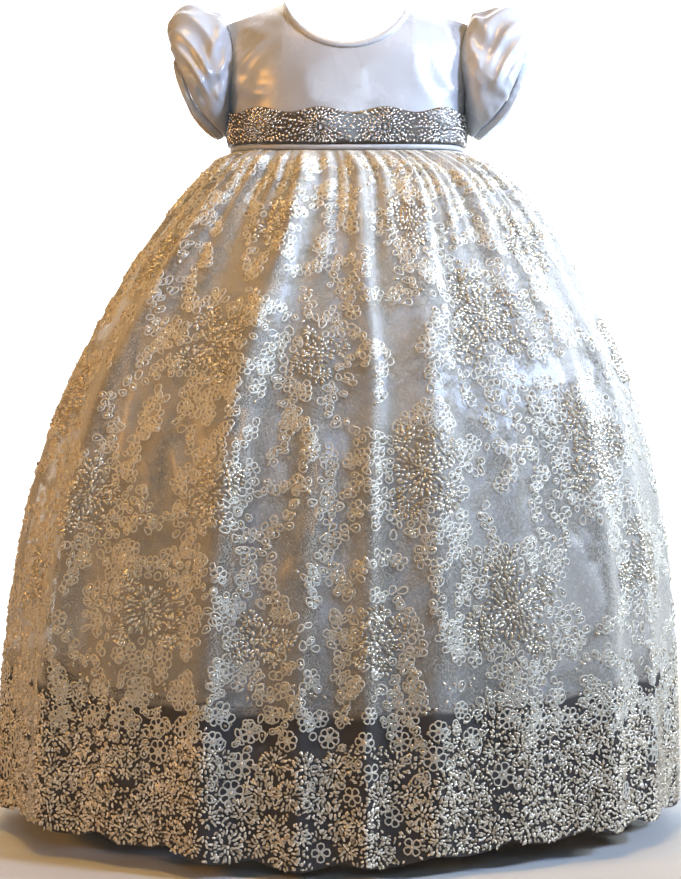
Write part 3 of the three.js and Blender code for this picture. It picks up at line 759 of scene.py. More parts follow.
def tube(rings):
    """Closed tube through rings of points, with a fan of faces over each end."""
    steps, sides = rings.shape[:2]
    quads = grid_quads(steps, sides, True)
    ends = np.stack([rings[0].mean(0), rings[-1].mean(0)])
    points = np.concatenate([rings.reshape(-1, 3), ends])
    s = np.arange(sides)
    n = (s + 1) % sides
    base = (steps - 1) * sides
    start = np.stack([n, s, np.full(sides, steps * sides)], -1)
    close = np.stack([base + s, base + n, np.full(sides, steps * sides + 1)], -1)
    a, b, c = (points[quads[:, k]] - ends[0] for k in range(3))
    volume = np.einsum("ij,ij->", a, np.cross(b, c))
    faces = [quads, np.concatenate([start, close])]
    return points, faces if volume > 0 else [f[:, ::-1] for f in faces]


def loops_mesh(paths, out, radius):
    """Closed cords: along each path a ridge with a foot on both sides, open below on the net."""
    count, steps = paths.shape[:2]
    along = unit(np.roll(paths, -1, 1) - np.roll(paths, 1, 1))
    side = unit(np.cross(along, out))
    up = np.cross(side, along)
    feet = np.array([(1.0, -0.5), (0.0, 1.0), (-1.0, -0.5)])
    ring = side[:, :, None] * feet[:, :1] + up[:, :, None] * feet[:, 1:]
    points = paths[:, :, None] + ring * radius
    cell = grid_quads(steps + 1, 3) % (steps * 3)
    quads = (cell[None] + (np.arange(count) * steps * 3)[:, None, None]).reshape(-1, 4)
    return points.reshape(-1, 3), quads[:, ::-1]


# Bead of unit size: an oval of six points under a short ridge.
BEAD_POINTS = np.array(
    [
        # along, across, up
        (0.5, 0, -0.2),
        (0.26, 0.46, -0.2),
        (-0.26, 0.46, -0.2),
        (-0.5, 0, -0.2),
        (-0.26, -0.46, -0.2),
        (0.26, -0.46, -0.2),
        (0.2, 0, 0.5),
        (-0.2, 0, 0.5),
    ]
)
BEAD_FACES = np.array(
    [(0, 1, 6), (1, 7, 6), (1, 2, 7), (2, 3, 7), (3, 4, 7), (4, 6, 7), (4, 5, 6), (5, 0, 6)]
)


def beads_mesh(point, along, out, size):
    """Beads: a unit dome, open below, scaled by (length, width, height) and turned to its axes."""
    side = np.cross(out, along)
    axes = np.stack([along * size[:, 0:1], side * size[:, 1:2], out * size[:, 2:3]], 1)
    points = point[:, None] + np.einsum("pk,nkd->npd", BEAD_POINTS, axes)
    step = (np.arange(len(point)) * len(BEAD_POINTS))[:, None, None]
    return points.reshape(-1, 3), [(BEAD_FACES[None] + step).reshape(-1, 3)]


# Lace motifs, in local millimetres: u along the round, v up the skirt

LOOP_STEPS = 8
LOOP_TURN = np.arange(LOOP_STEPS) / LOOP_STEPS * 2 * np.pi
ROUND = np.linspace(-250, 250, 2001)
ROW_STEP = 3.0
ROW_DROPS = np.arange(0, SKIRT_LENGTH + 2 * ROW_STEP, ROW_STEP)


def net_runs():
    """Lengths along the folded net from the first angle of ROUND, a row for each of ROW_DROPS."""
    points = skirt(ROUND, ROW_DROPS[:, None])
    steps = np.linalg.norm(np.diff(points, axis=1), axis=-1)
    return np.concatenate([np.zeros((len(ROW_DROPS), 1)), np.cumsum(steps, 1)], 1)


NET_RUNS = net_runs()


def net_row(drop):
    """Number of the nearest row of lengths."""
    return np.clip(np.rint(np.asarray(drop) / ROW_STEP).astype(int), 0, len(NET_RUNS) - 1)


def go(deg, drop, u, v):
    """Angle and drop reached on the net by u along the folded round and v up the skirt."""
    at = drop - v / mm_per_drop(deg, drop)
    row = net_row(at)
    found = np.empty_like(at)
    for k in np.unique(row):
        here = row == k
        start = np.interp(deg[here], ROUND, NET_RUNS[k])
        found[here] = np.interp(start + u[here], NET_RUNS[k], ROUND)
    return found, at


class Lace:
    """Collects beads and cords, each by the place of its motif and its own local millimetres."""

    def __init__(self, seed):
        self.rng = np.random.default_rng(seed)
        self.beads = []
        self.loops = []
        self.move(0.0, 100.0)

    def move(self, deg, drop):
        """Sets the middle of the next motif."""
        self.place = (deg, drop)

    def bead(self, u, v, angle, length, width, height):
        """One bead, lying along an angle in the cloth."""
        self.beads.append((*self.place, u, v, angle, length, width, height, self.rng.random()))

    def loop(self, path):
        """One closed cord."""
        self.loops.append(np.column_stack([np.full((LOOP_STEPS, 2), self.place), path]))


def ring_loop(u, v, radius):
    """Circle of cord."""
    return np.stack([u + radius * np.cos(LOOP_TURN), v + radius * np.sin(LOOP_TURN)], -1)


def petal_loop(u, v, angle, length, width):
    """Petal of cord from its root: the share along is half of one minus the cosine, and the width is
    a sine that grows with that share."""
    share = 0.5 - 0.5 * np.cos(LOOP_TURN)
    along = length * share
    across = 0.5 * width * np.sin(LOOP_TURN) * (0.6 + 0.65 * share)
    c = np.cos(angle)
    s = np.sin(angle)
    return np.stack([u + along * c - across * s, v + along * s + across * c], -1)


def round_bead(lace, u, v, size):
    """Round bead."""
    lace.bead(u, v, 0, size, size, size * 0.9)


def bead_rings(lace, u, v, reach, long, taken=()):
    """Uneven rings of beads that point outwards, each a little less than a bead's length outside the
    last, and none within the rounds already taken."""
    rng = lace.rng
    round_bead(lace, u, v, 0.75 * long)
    radius = 0.9 * long
    while radius < reach:
        count = int(2 * np.pi * radius / (0.62 * long))
        start = rng.uniform(0, FULL_TURN)
        for k in range(count):
            a = start + 2 * np.pi * k / count + rng.normal(0, 0.07)
            r = radius + rng.normal(0, 0.16 * long)
            x = u + r * np.cos(a)
            y = v + r * np.sin(a)
            if rng.random() < 0.92 and all(np.hypot(x - p, y - q) > c for p, q, c in taken):
                lean = a + rng.normal(0, 0.3)
                lace.bead(x, y, lean, long * rng.uniform(0.8, 1.2), 0.52 * long, 0.54 * long)
        radius += 0.86 * long


def curl(lace, u, v, heading):
    """One small corded loop, a petal or sometimes a ring, with or without a bead in it."""
    rng = lace.rng
    length = rng.uniform(5.0, 8.0)
    if rng.random() < 0.75:
        lace.loop(petal_loop(u, v, heading, length, length * rng.uniform(0.6, 0.8)))
        middle = 0.6 * length
    else:
        lace.loop(ring_loop(u, v, rng.uniform(2.2, 2.9)))
        middle = 0
    if rng.random() < 0.6:
        at = (u + middle * np.cos(heading), v + middle * np.sin(heading))
        lace.bead(*at, heading + rng.normal(0, 0.4), rng.uniform(2.4, 3.6), 1.8, 1.8)


def floret(lace, u, v, radius):
    """Small flower of four or five corded petals round a bead."""
    petals = 4 + int(lace.rng.random() < 0.6)
    start = lace.rng.uniform(0, FULL_TURN)
    for k in range(petals):
        a = start + 2 * np.pi * k / petals
        lace.loop(petal_loop(u + 0.9 * np.cos(a), v + 0.9 * np.sin(a), a, radius, 0.95 * radius))
    round_bead(lace, u, v, 2.5)


def scatter(rng, radius, pitch):
    """Places on a staggered grid of a pitch out to a radius, each moved a little."""
    rows = np.arange(-radius, radius + pitch, pitch * 0.87)
    u, v = np.meshgrid(np.arange(-radius, radius + pitch, pitch), rows)
    u = u + 0.5 * pitch * (np.arange(len(rows)) % 2)[:, None]
    return np.stack([u, v], -1).reshape(-1, 2) + rng.normal(0, 0.17 * pitch, (u.size, 2))


def medallion(lace, radius, pitch, long):
    """Medallion: five overlapping rounds of long beads, and small corded loops spread around them out
    to an edge that waves in and out as a sum of two sines."""
    rng = lace.rng
    hearts = [(0, 0.06 * radius, 0.42 * radius)]
    for k in range(4):
        a = 0.5 + 1.57 * k + rng.normal(0, 0.3)
        away = rng.uniform(0.42, 0.58) * radius
        hearts.append((away * np.cos(a), away * np.sin(a), rng.uniform(0.2, 0.33) * radius))
    for k, heart in enumerate(hearts):
        bead_rings(lace, *heart, long, hearts[:k])
    wave = rng.uniform(0, FULL_TURN, 2)
    for u, v in scatter(rng, 1.25 * radius, pitch):
        angle = np.arctan2(v, u)
        waving = 0.15 * np.sin(5 * angle + wave[0]) + 0.1 * np.sin(3 * angle + wave[1])
        edge = radius * (1.0 + waving)
        share = np.hypot(u, v) / edge
        inside = any(np.hypot(u - p, v - q) < c - 0.5 for p, q, c in hearts)
        if inside or share > 1 or (share > 0.8 and rng.random() < 0.3):
            continue
        if share > 0.7 and rng.random() < 0.16:
            floret(lace, u, v, 4.6)
        else:
            curl(lace, u, v, angle + rng.normal(0, 0.8))


def spray(lace, steps, heading):
    """Spray: small corded loops to both sides of a bending line, with florets and single beads."""
    rng = lace.rng
    u = -2.3 * steps * np.cos(heading)
    v = -2.3 * steps * np.sin(heading)
    for k in range(steps):
        heading += rng.normal(0, 0.3)
        side = heading + (1 if k % 2 else -1) * rng.uniform(0.5, 1.3)
        if rng.random() < 0.18:
            floret(lace, u, v, 4.8)
        else:
            curl(lace, u, v, side)
        if rng.random() < 0.4:
            at = (u + 3 * np.cos(side), v + 3 * np.sin(side))
            curl(lace, *at, heading + np.pi * rng.random())
        if rng.random() < 0.45:
            lace.bead(u - 3.4 * np.cos(side), v - 3.4 * np.sin(side), side, 3.8, 2.1, 2.1)
        u += 4.6 * np.cos(heading)
        v += 4.6 * np.sin(heading)


def rose(lace, radius):
    """Rose of the border: corded petals round a ring and a bead."""
    petals = 6 + int(lace.rng.random() < 0.5)
    start = lace.rng.uniform(0, FULL_TURN)
    for k in range(petals):
        a = start + 2 * np.pi * k / petals
        r = 0.3 * radius
        lace.loop(petal_loop(r * np.cos(a), r * np.sin(a), a, 0.72 * radius, 0.72 * radius))
    lace.loop(ring_loop(0, 0, 0.26 * radius))
    round_bead(lace, 0, 0, 2.8)


def net_round(drop):
    """Row of lengths at a drop, and its lengths at the centre back on both sides."""
    run = NET_RUNS[net_row(drop)]
    return run, *np.interp([-180, 180], ROUND, run)


def medallion_lace(seed):
    """Medallions at their table places, with their loops closer together in front than behind."""
    lace = Lace(seed)
    for deg, drop, radius in MEDALLIONS:
        lace.move(turn(deg, 0), drop)
        medallion(lace, radius, *(MEDALLION_FRONT if in_front(deg) else MEDALLION_BACK))
    return lace


def spray_lace(seed):
    """Sprays on an uneven grid along the folded net, wherever the medallions leave room. They are
    fewest in a patch low on the right of the front."""
    lace = Lace(seed)
    rng = lace.rng
    drops = np.concatenate([[10, 20], np.arange(32, SKIRT_LENGTH - BORDER_HEIGHT - 2, 20)])
    for number, drop in enumerate(drops):
        run, first, last = net_round(drop)
        middles = np.interp(turn(MEDALLIONS[:, 0], 0), ROUND, run)
        count = int((last - first) / (25 if drop > 60 else 20))
        for k in range(count):
            share = (k + 0.5 * (number % 2) + rng.normal(0, 0.16)) / count
            along = first + share * (last - first)
            deg = turn(float(np.interp(along, run, ROUND)), 0)
            at = max(drop + rng.normal(0, 4), 8)
            gap = (np.hypot(middles - along, MEDALLIONS[:, 1] - at) - MEDALLIONS[:, 2]).min()
            bare = 0.1 + 0.55 * hump((deg - 36) / 26) * hump((at - 280) / 110)
            if not in_front(deg):
                bare = 0.5
            if gap < 1 or rng.random() < bare:
                continue
            lace.move(deg, at)
            spray(lace, int(min(4 + gap * 0.3, 8)), np.pi / 2 + rng.normal(0, 0.55))
    return lace


def border_lace(seed):
    """Border: rows of beaded flowers up from the scalloped hem, roses and florets above them, then
    loops and beads on an uneven grid wherever there is room, thinning out towards the top."""
    lace = Lace(seed)
    rng = lace.rng
    taken = []
    run, first, last = net_round(450)
    total = last - first
    for number, (up, pitch, radius, shift) in enumerate(BORDER_ROWS):
        count = int(total / pitch)
        for k in range(count):
            at = ((k + shift) / count * total + rng.normal(0, 1.6)) % total
            deg = float(np.interp(first + at, run, ROUND))
            drop = float(hem_drop(deg)) - up - (rng.normal(0, 2.0) if number else 0)
            kind = rng.random()
            lace.move(deg, drop)
            if number < 4 and kind < 0.9 - 0.08 * number:
                long = BORDER_BEAD_FRONT if in_front(deg) else BORDER_BEAD_BACK
                bead_rings(lace, 0, 0, radius * rng.uniform(0.85, 1.15), long)
            elif kind < 0.9:
                rose(lace, radius * 0.84)
            else:
                floret(lace, 0, 0, 5.4)
            taken.append((at, up, radius))
    taken = np.array(taken)
    for up in np.arange(2.2, BORDER_REACH, BORDER_FILL_UP):
        for along in np.arange(0, total, BORDER_FILL_ALONG):
            x = along + rng.normal(0, 0.8)
            y = max(up + rng.normal(0, 0.8), 2)
            away = np.abs((taken[:, 0] - x + total / 2) % total - total / 2)
            gap = (np.hypot(away, taken[:, 1] - y) - taken[:, 2]).min()
            deg = float(np.interp(first + x % total, run, ROUND))
            waving = 8 * np.sin(along * 0.06) + 6 * np.sin(along * 0.023 + 1)
            top = BORDER_TOP - BORDER_DIP * hump(turn(deg, -8) / 28) + waving
            skip = 0.1 if in_front(deg) else 0.66
            if gap < -1.4 or rng.random() < (skip if y < top else 0.93):
                continue
            lace.move(deg, float(hem_drop(deg)) - y)
            if gap > 0 and rng.random() < 0.02 + 0.16 * ease((y - 20) / 60):
                curl(lace, 0, 0, rng.uniform(0, FULL_TURN))
            else:
                lace.bead(0, 0, rng.uniform(0, 3.1), rng.uniform(2.4, 3.6), 1.7, 1.7)
    return lace


def lay_beads(name, rows, material):
    """Beads laid on the net at their places, as one mesh."""
    point, across, up, out = skirt_frame(*go(*rows[:, :4].T))
    along = across * np.cos(rows[:, 4:5]) + up * np.sin(rows[:, 4:5])
    points, faces = beads_mesh(point + out * rows[:, 7:8] * 0.42, along, out, rows[:, 5:8])
    tint = np.repeat(rows[:, 8], len(BEAD_POINTS))
    return put_mesh(name, points, faces, material, values={"tint": tint})


def lay_cords(name, loops, radius, material):
    """Cords laid on the net along their paths, as one mesh."""
    point, _, _, out = skirt_frame(*go(*loops.reshape(-1, 4).T))
    point = point.reshape(len(loops), -1, 3)
    out = out.reshape(point.shape)
    points, quads = loops_mesh(point + out * radius * 0.7, out, radius)
    return put_mesh(name, points, [quads], material)


def in_front(deg):
    """True where an angle lies before the side seams."""
    return np.abs(turn(deg, 0)) <= 90


def split_lace(lace):
    """Beads and cords of the front and of the back, without those that reach over the waist seam."""
    beads = np.array(lace.beads)
    loops = np.array(lace.loops)
    beads = beads[beads[:, 1] - beads[:, 3] > 5]
    loops = loops[(loops[..., 1] - loops[..., 3]).min(1) > 4]
    bead_side = in_front(beads[:, 0])
    loop_side = in_front(loops[:, 0, 0])
    return {
        "front": (beads[bead_side], loops[loop_side]),
        "back": (beads[~bead_side], loops[~loop_side]),
    }


def lace_cover_and_shade(deg, drop):
    """Closeness of the lace ground: about a quarter in a medallion, less out to its edge, full below
    the lining and none on plain net. The net's colour is darkened by it towards the nearly black ground
    colour: painted shade between the beads of a medallion, and below the lining a painted dark for the
    shade seen through the net."""
    cover_and_shade = np.zeros(np.broadcast(deg, drop).shape)
    for at, middle, radius in MEDALLIONS:
        step = turn(deg, at) * mm_per_degree(deg, drop)
        away = np.hypot(step, (drop - middle) * 1.08) / radius
        # In a medallion the cover also darkens the net: painted shade between its beads.
        here = 0.16 * ease((0.66 - away) / 0.2) + 0.08 * ease((1.1 - away) / 0.25)
        cover_and_shade = np.maximum(cover_and_shade, here)
    # Full below the lining, where the darkened ground is a painted dark for the shade seen through the
    # net.
    return np.maximum(cover_and_shade, ease((drop - lining_drop(deg) + 4) / 5))


# Shading


def node(tree, kind, **values):
    """Adds a shader node; values set its inputs by name, or its own properties."""
    made = tree.nodes.new(kind)
    for key, value in values.items():
        if hasattr(made, key):
            setattr(made, key, value)
        else:
            made.inputs[key.replace("_", " ")].default_value = value
    return made


def group(name, inputs, outputs):
    """New shader node group with the named sockets; gives the tree and its two end nodes."""
    tree = bpy.data.node_groups.new(name, "ShaderNodeTree")
    for key, kind in inputs:
        tree.interface.new_socket(key, in_out="INPUT", socket_type=kind)
    for key, kind in outputs:
        tree.interface.new_socket(key, in_out="OUTPUT", socket_type=kind)
    return tree, tree.nodes.new("NodeGroupInput"), tree.nodes.new("NodeGroupOutput")


def tone_group():
    """Soft tone: smooth noise of a scale per metre, spread to the full range from 0 to 1."""
    name = "Soft tone"
    if name in bpy.data.node_groups:
        return bpy.data.node_groups[name]
    sockets = [("Vector", "NodeSocketVector"), ("Scale", "NodeSocketFloat")]
    tree, start, end = group(name, sockets, [("Value", "NodeSocketFloat")])
    noise = node(tree, "ShaderNodeTexNoise", Detail=3.0, Roughness=0.55)
    spread = node(tree, "ShaderNodeMapRange", From_Min=0.3, From_Max=0.7)
    tree.links.new(start.outputs["Vector"], noise.inputs["Vector"])
    tree.links.new(start.outputs["Scale"], noise.inputs["Scale"])
    tree.links.new(noise.outputs["Fac"], spread.inputs["Value"])
    tree.links.new(spread.outputs["Result"], end.inputs["Value"])
    return tree


def weave_group():
    """Weave: long fine noise along the cloth's length over short noise across it, as a height."""
    name = "Weave"
    if name in bpy.data.node_groups:
        return bpy.data.node_groups[name]
    sockets = [("Vector", "NodeSocketVector")]
    tree, start, end = group(name, sockets, [("Height", "NodeSocketFloat")])
    stretch = node(tree, "ShaderNodeVectorMath", operation="MULTIPLY")
    stretch.inputs[1].default_value = (2600, 420, 900)
    noise = node(tree, "ShaderNodeTexNoise", Scale=1.0, Detail=2.0)
    tree.links.new(start.outputs["Vector"], stretch.inputs[0])
    tree.links.new(stretch.outputs["Vector"], noise.inputs["Vector"])
    tree.links.new(noise.outputs["Fac"], end.inputs["Height"])
    return tree


def mesh_group():
    """Net: strands where the distance to the edges of small cells is short, with the lace ground added
    by its cover."""
    name = "Net mesh"
    if name in bpy.data.node_groups:
        return bpy.data.node_groups[name]
    sockets = [("Vector", "NodeSocketVector"), ("Cover", "NodeSocketFloat")]
    tree, start, end = group(name, sockets, [("Alpha", "NodeSocketFloat")])
    cells = node(tree, "ShaderNodeTexVoronoi", feature="DISTANCE_TO_EDGE", Scale=620.0)
    strand = node(tree, "ShaderNodeMapRange", From_Min=0.04, From_Max=0.16)
    strand.inputs["To Min"].default_value = 0.55
    strand.inputs["To Max"].default_value = 0.08
    mix = node(tree, "ShaderNodeMath", operation="MULTIPLY_ADD", use_clamp=True)
    mix.inputs[1].default_value = 0.86
    tree.links.new(start.outputs["Vector"], cells.inputs["Vector"])
    tree.links.new(cells.outputs["Distance"], strand.inputs["Value"])
    tree.links.new(start.outputs["Cover"], mix.inputs[0])
    tree.links.new(strand.outputs["Result"], mix.inputs[2])
    tree.links.new(mix.outputs["Value"], end.inputs["Alpha"])
    return tree


def new_material(name, **constants):
    """Material with a Principled shader whose plain values are set on its own sockets."""
    material = bpy.data.materials.new(name)
    material.use_nodes = True
    shader = material.node_tree.nodes["Principled BSDF"]
    for key, value in constants.items():
        shader.inputs[key.replace("_", " ")].default_value = value
    return material, material.node_tree, shader


def cloth_vector(tree):
    """Flat lengths of the cloth, from its own UV."""
    return node(tree, "ShaderNodeUVMap", uv_map="cloth").outputs["UV"]


def use_group(tree, shared, **links):
    """Places a shared group and joins its inputs: sockets are linked, numbers are set."""
    made = tree.nodes.new("ShaderNodeGroup")
    made.node_tree = shared
    for key, value in links.items():
        if isinstance(value, (int, float)):
            made.inputs[key].default_value = value
        else:
            tree.links.new(value, made.inputs[key])
    return made


def mix_colours(tree, factor, low, high):
    """Colour between two, by a factor."""
    mix = node(tree, "ShaderNodeMix", data_type="RGBA")
    mix.inputs[6].default_value = (*low, 1)
    mix.inputs[7].default_value = (*high, 1)
    tree.links.new(factor, mix.inputs[0])
    return mix.outputs[2]


def satin(name, colour):
    """Satin: a little lighter and darker by a soft tone, with a fine weave as bump and a sheen."""
    if name in bpy.data.materials:
        return bpy.data.materials[name]
    sheen = {"Sheen_Weight": 0.25, "Sheen_Roughness": 0.4}
    material, tree, shader = new_material(name, Specular_IOR_Level=0.55, **sheen)
    flat = cloth_vector(tree)
    tone = use_group(tree, tone_group(), Vector=flat, Scale=28.0).outputs["Value"]
    shade = mix_colours(tree, tone, [0.93 * c for c in colour], [min(1.03 * c, 1) for c in colour])
    tree.links.new(shade, shader.inputs["Base Color"])
    rough = node(tree, "ShaderNodeMapRange", To_Min=0.23, To_Max=0.31)
    tree.links.new(tone, rough.inputs["Value"])
    tree.links.new(rough.outputs["Result"], shader.inputs["Roughness"])
    bump = node(tree, "ShaderNodeBump", Strength=0.12, Distance=0.0004)
    weave = use_group(tree, weave_group(), Vector=flat)
    tree.links.new(weave.outputs["Height"], bump.inputs["Height"])
    tree.links.new(bump.outputs["Normal"], shader.inputs["Normal"])
    return material


def net_material(colour, ground_and_shade):
    """Net: cells with thin strands, closer where the cover attribute marks the ground of the lace and
    darker there as painted shade between the beads and below the lining, and closer where it is seen
    edge on."""
    material, tree, shader = new_material("Net", Roughness=0.75)
    cover_and_shade = node(tree, "ShaderNodeAttribute", attribute_name="cover_and_shade").outputs["Fac"]
    mesh = use_group(tree, mesh_group(), Vector=cloth_vector(tree), Cover=cover_and_shade)
    # Base colour darkened by the cover towards the nearly black ground: painted shade, not the net's own
    # colour.
    tree.links.new(mix_colours(tree, cover_and_shade, colour, ground_and_shade), shader.inputs["Base Color"])
    lean = node(tree, "ShaderNodeLayerWeight", Blend=0.5).outputs["Facing"]
    edge = node(tree, "ShaderNodeMath", operation="POWER")
    edge.inputs[1].default_value = 1.6
    tree.links.new(lean, edge.inputs[0])
    total = node(tree, "ShaderNodeMath", operation="MULTIPLY_ADD", use_clamp=True)
    total.inputs[1].default_value = 0.9
    tree.links.new(edge.outputs["Value"], total.inputs[0])
    tree.links.new(mesh.outputs["Alpha"], total.inputs[2])
    tree.links.new(total.outputs["Value"], shader.inputs["Alpha"])
    return material


def cord_material(colour):
    """Cord: ivory thread, up to a fifth darker by a soft tone."""
    if "Cord" in bpy.data.materials:
        return bpy.data.materials["Cord"]
    material, tree, shader = new_material("Cord", Roughness=0.32, Sheen_Weight=0.2)
    place = node(tree, "ShaderNodeTexCoord").outputs["Object"]
    tone = use_group(tree, tone_group(), Vector=place, Scale=180.0).outputs["Value"]
    shade = mix_colours(tree, tone, [0.8 * c for c in colour], colour)
    tree.links.new(shade, shader.inputs["Base Color"])
    return material


def bead_material(name, low, high, **constants):
    """Beads: each between two colours by its tint attribute."""
    if name in bpy.data.materials:
        return bpy.data.materials[name]
    material, tree, shader = new_material(name, **constants)
    tint = node(tree, "ShaderNodeAttribute", attribute_name="tint").outputs["Fac"]
    tree.links.new(mix_colours(tree, tint, low, high), shader.inputs["Base Color"])
    return material


# Properties


def colour_property(name, description, default):
    """Colour property in linear light."""
    return FloatVectorProperty(
        name=name, description=description, default=default, subtype="COLOR", size=3, min=0, max=1
    )


class GownSizes(PropertyGroup):
    """Sizes that a user would change."""

    cloth_wall: FloatProperty(
        name="Satin thickness",
        description="Thickness of the bodice and sleeve cloth",
        default=0.0013,
        unit="LENGTH",
    )
    cord_radius: FloatProperty(
        name="Cord radius",
        description="Radius of the cord of the lace",
        default=0.0006,
        unit="LENGTH",
    )
    lace_seed: IntProperty(
        name="Lace seed",
        description="Start of the uneven placing of the lace",
        default=11,
    )


class GownColours(PropertyGroup):
    """Colours that a user would change."""

    satin: colour_property("Satin", "Colour of the bodice, sleeves and bound edges", (0.54, 0.535, 0.54))
    lining: colour_property("Lining", "Colour of the lining satin", (0.65, 0.635, 0.62))
    net: colour_property("Net", "Colour of the net", (0.62, 0.59, 0.53))
    # Lace ground: nearly black, painted shade between the lace beads and painted dark below the lining.
    ground_and_shade: colour_property("Lace ground", "Colour of the net behind the lace", (0.085, 0.08, 0.08))
    cord: colour_property("Cord", "Colour of the lace cord", (0.79, 0.745, 0.65))
    bead_low: colour_property("Bead shade", "Darker colour of the lace beads", (0.5, 0.44, 0.34))
    bead_high: colour_property("Bead light", "Paler colour of the lace beads", (0.96, 0.91, 0.8))
    # Belt ground: made dark brown as painted shade in the gaps between the belt beads.
    belt: colour_property("Belt ground", "Colour of the cloth under the belt beads", (0.155, 0.133, 0.112))
    silver: colour_property("Belt beads", "Paler colour of the belt beads", (0.97, 0.96, 0.94))
    stage: colour_property("Stage", "Colour of the floor and backdrop", (0.9, 0.9, 0.9))


def sizes():
    """The sizes set in the scene."""
    return bpy.context.scene.gown_sizes


def colours():
    """The colours set in the scene."""
    return bpy.context.scene.gown_colours


def satin_material():
    """The satin of the bodice, sleeves and bound edges."""
    return satin("Satin", tuple(colours().satin))


# Operators


def stand_for(solid):
    """Hides the solid that a piece replaces."""
    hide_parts(solid)


def panel_shares(neck_columns, shoulder_columns):
    """Shares across half a panel, closer towards the neck point and the armhole edge."""
    neck = NECK_HALF / SHOULDER_HALF
    first = neck * np.sin(np.pi / 2 * np.arange(neck_columns) / neck_columns)
    last = np.sin(np.pi / 2 * np.arange(shoulder_columns + 1) / shoulder_columns)
    return np.concatenate([first, neck + (1 - neck) * last])


def bodice_panel(side, shares):
    """Panel of the bodice: creases move it along its normals, and its inside lies one wall in."""
    heights = np.sin(np.pi / 2 * np.linspace(0, 1, 48))
    share, height = np.meshgrid(shares, heights)
    outer = panel(side, share, height)
    normal = grid_normals(outer) * (1 if side < 0 else -1)
    fade = ease((1 - np.abs(share)) / 0.12) * ease((1 - height) / 0.1)
    rise = np.zeros(share.shape)
    for crease_side, *line, width, depth in BODICE_CREASES:
        if crease_side == side:
            rise += crease(outer[..., 0], outer[..., 2], line, width, depth)
    outer = outer + normal * (rise * fade)[..., None]
    inner = outer - normal * (sizes().cloth_wall / MM)
    for grid in (outer, inner):
        grid[..., 1] = side * np.maximum(side * grid[..., 1], SEAM_GAP / 2)
        if shares.min() >= 0:
            grid[..., 0] = np.maximum(grid[..., 0], SEAM_GAP / 2)
    return outer, inner


class GOWN_OT_bodice(Operator):
    """Build the front and the two back panels of the bodice"""

    bl_idname = "gown.bodice"
    bl_label = "Bodice"

    def execute(self, context):
        half = panel_shares(22, 18)
        whole = np.concatenate([-half[:0:-1], half])
        outer, inner = bodice_panel(1, half)
        flip = np.array([-1, 1, 1])
        panels = {
            "bodice_front": bodice_panel(-1, whole),
            "bodice_back_right": (outer, inner),
            "bodice_back_left": (outer * flip, inner * flip),
        }
        for name, walls in panels.items():
            piece = put_shell(f"{name}_cloth", *walls, satin_material())
            stand_for(name)
        return {"FINISHED"}


def sleeve_grids(form):
    """Outer and inner grid of a sleeve: its first row is tucked in behind the armhole edge, and its
    inside lies one wall further in along the normals."""
    deg = np.arange(SLEEVE_COLUMNS) * (360 / SLEEVE_COLUMNS)
    deg, along = np.meshgrid(deg, np.linspace(0, 1, SLEEVE_ROWS))
    outer = sleeve(form, deg, along)
    middle = outer[0].mean(0)
    tucked = outer[:1] + 2.0 * unit((middle - outer[:1]) * [0, 1, 1]) - [2.2, 0, 0]
    outer = np.concatenate([tucked, outer])
    normal = grid_normals(outer, ring=True)
    heart = outer.mean(1, keepdims=True)
    normal = normal * np.sign(np.sum(normal * (outer - heart), -1, keepdims=True))
    normal[0, :, 0] = np.minimum(normal[0, :, 0], 0)
    axis = cuff_axis(form)
    normal[-1] -= np.sum(normal[-1] * axis, -1, keepdims=True) * axis
    inner = outer - unit(normal) * (sizes().cloth_wall / MM)
    return outer, inner


def round_turn(sides):
    """Angles of the corners of a round section, in radians."""
    return np.arange(sides) / sides * 2 * np.pi


def rolled_ring(form):
    """Cuff: an oval loop whose section is a rounded band, wide along the arm and thin across."""
    deg = np.arange(CUFF_COLUMNS) * (360 / CUFF_COLUMNS)
    turned = round_turn(TUBE_SIDES)
    past = 0.6 + CUFF_WIDTH / 2 * (1 + signed_power(np.cos(turned), 0.6))
    grow = 0.2 - 1.3 + 1.4 * signed_power(np.sin(turned), 0.8)
    gathered = 0.35 * np.cos(np.radians(deg * 30) + np.sin(np.radians(deg * 7)))
    rings = cuff_loop(form, deg[:, None] + 0 * past, past + 0 * deg[:, None])
    middle = np.array([form["cuff_x"], 0, form["cuff_z"]]) + cuff_axis(form) * past[:, None]
    return rings + unit(rings - middle) * (grow + gathered[:, None])[..., None]


def closed_ring_faces(steps, sides):
    """Faces of a tube that closes on itself."""
    return grid_quads(steps + 1, sides, True) % (steps * sides)


def ring_uv(rings):
    """Flat lengths round and across a ring of cloth."""
    steps, sides = rings.shape[:2]
    lengths = np.broadcast_arrays(np.arange(steps)[:, None] * 2.0, np.arange(sides) * 1.0)
    return np.stack(lengths, -1).reshape(-1, 2)


def put_tube(solid, rings):
    """Closed tube of satin as an object, in place of a solid."""
    points, faces = tube(rings)
    uv = np.concatenate([ring_uv(rings), np.zeros((2, 2))])
    piece = put_mesh(f"{solid}_cloth", points, faces, satin_material(), uv=uv)
    stand_for(solid)


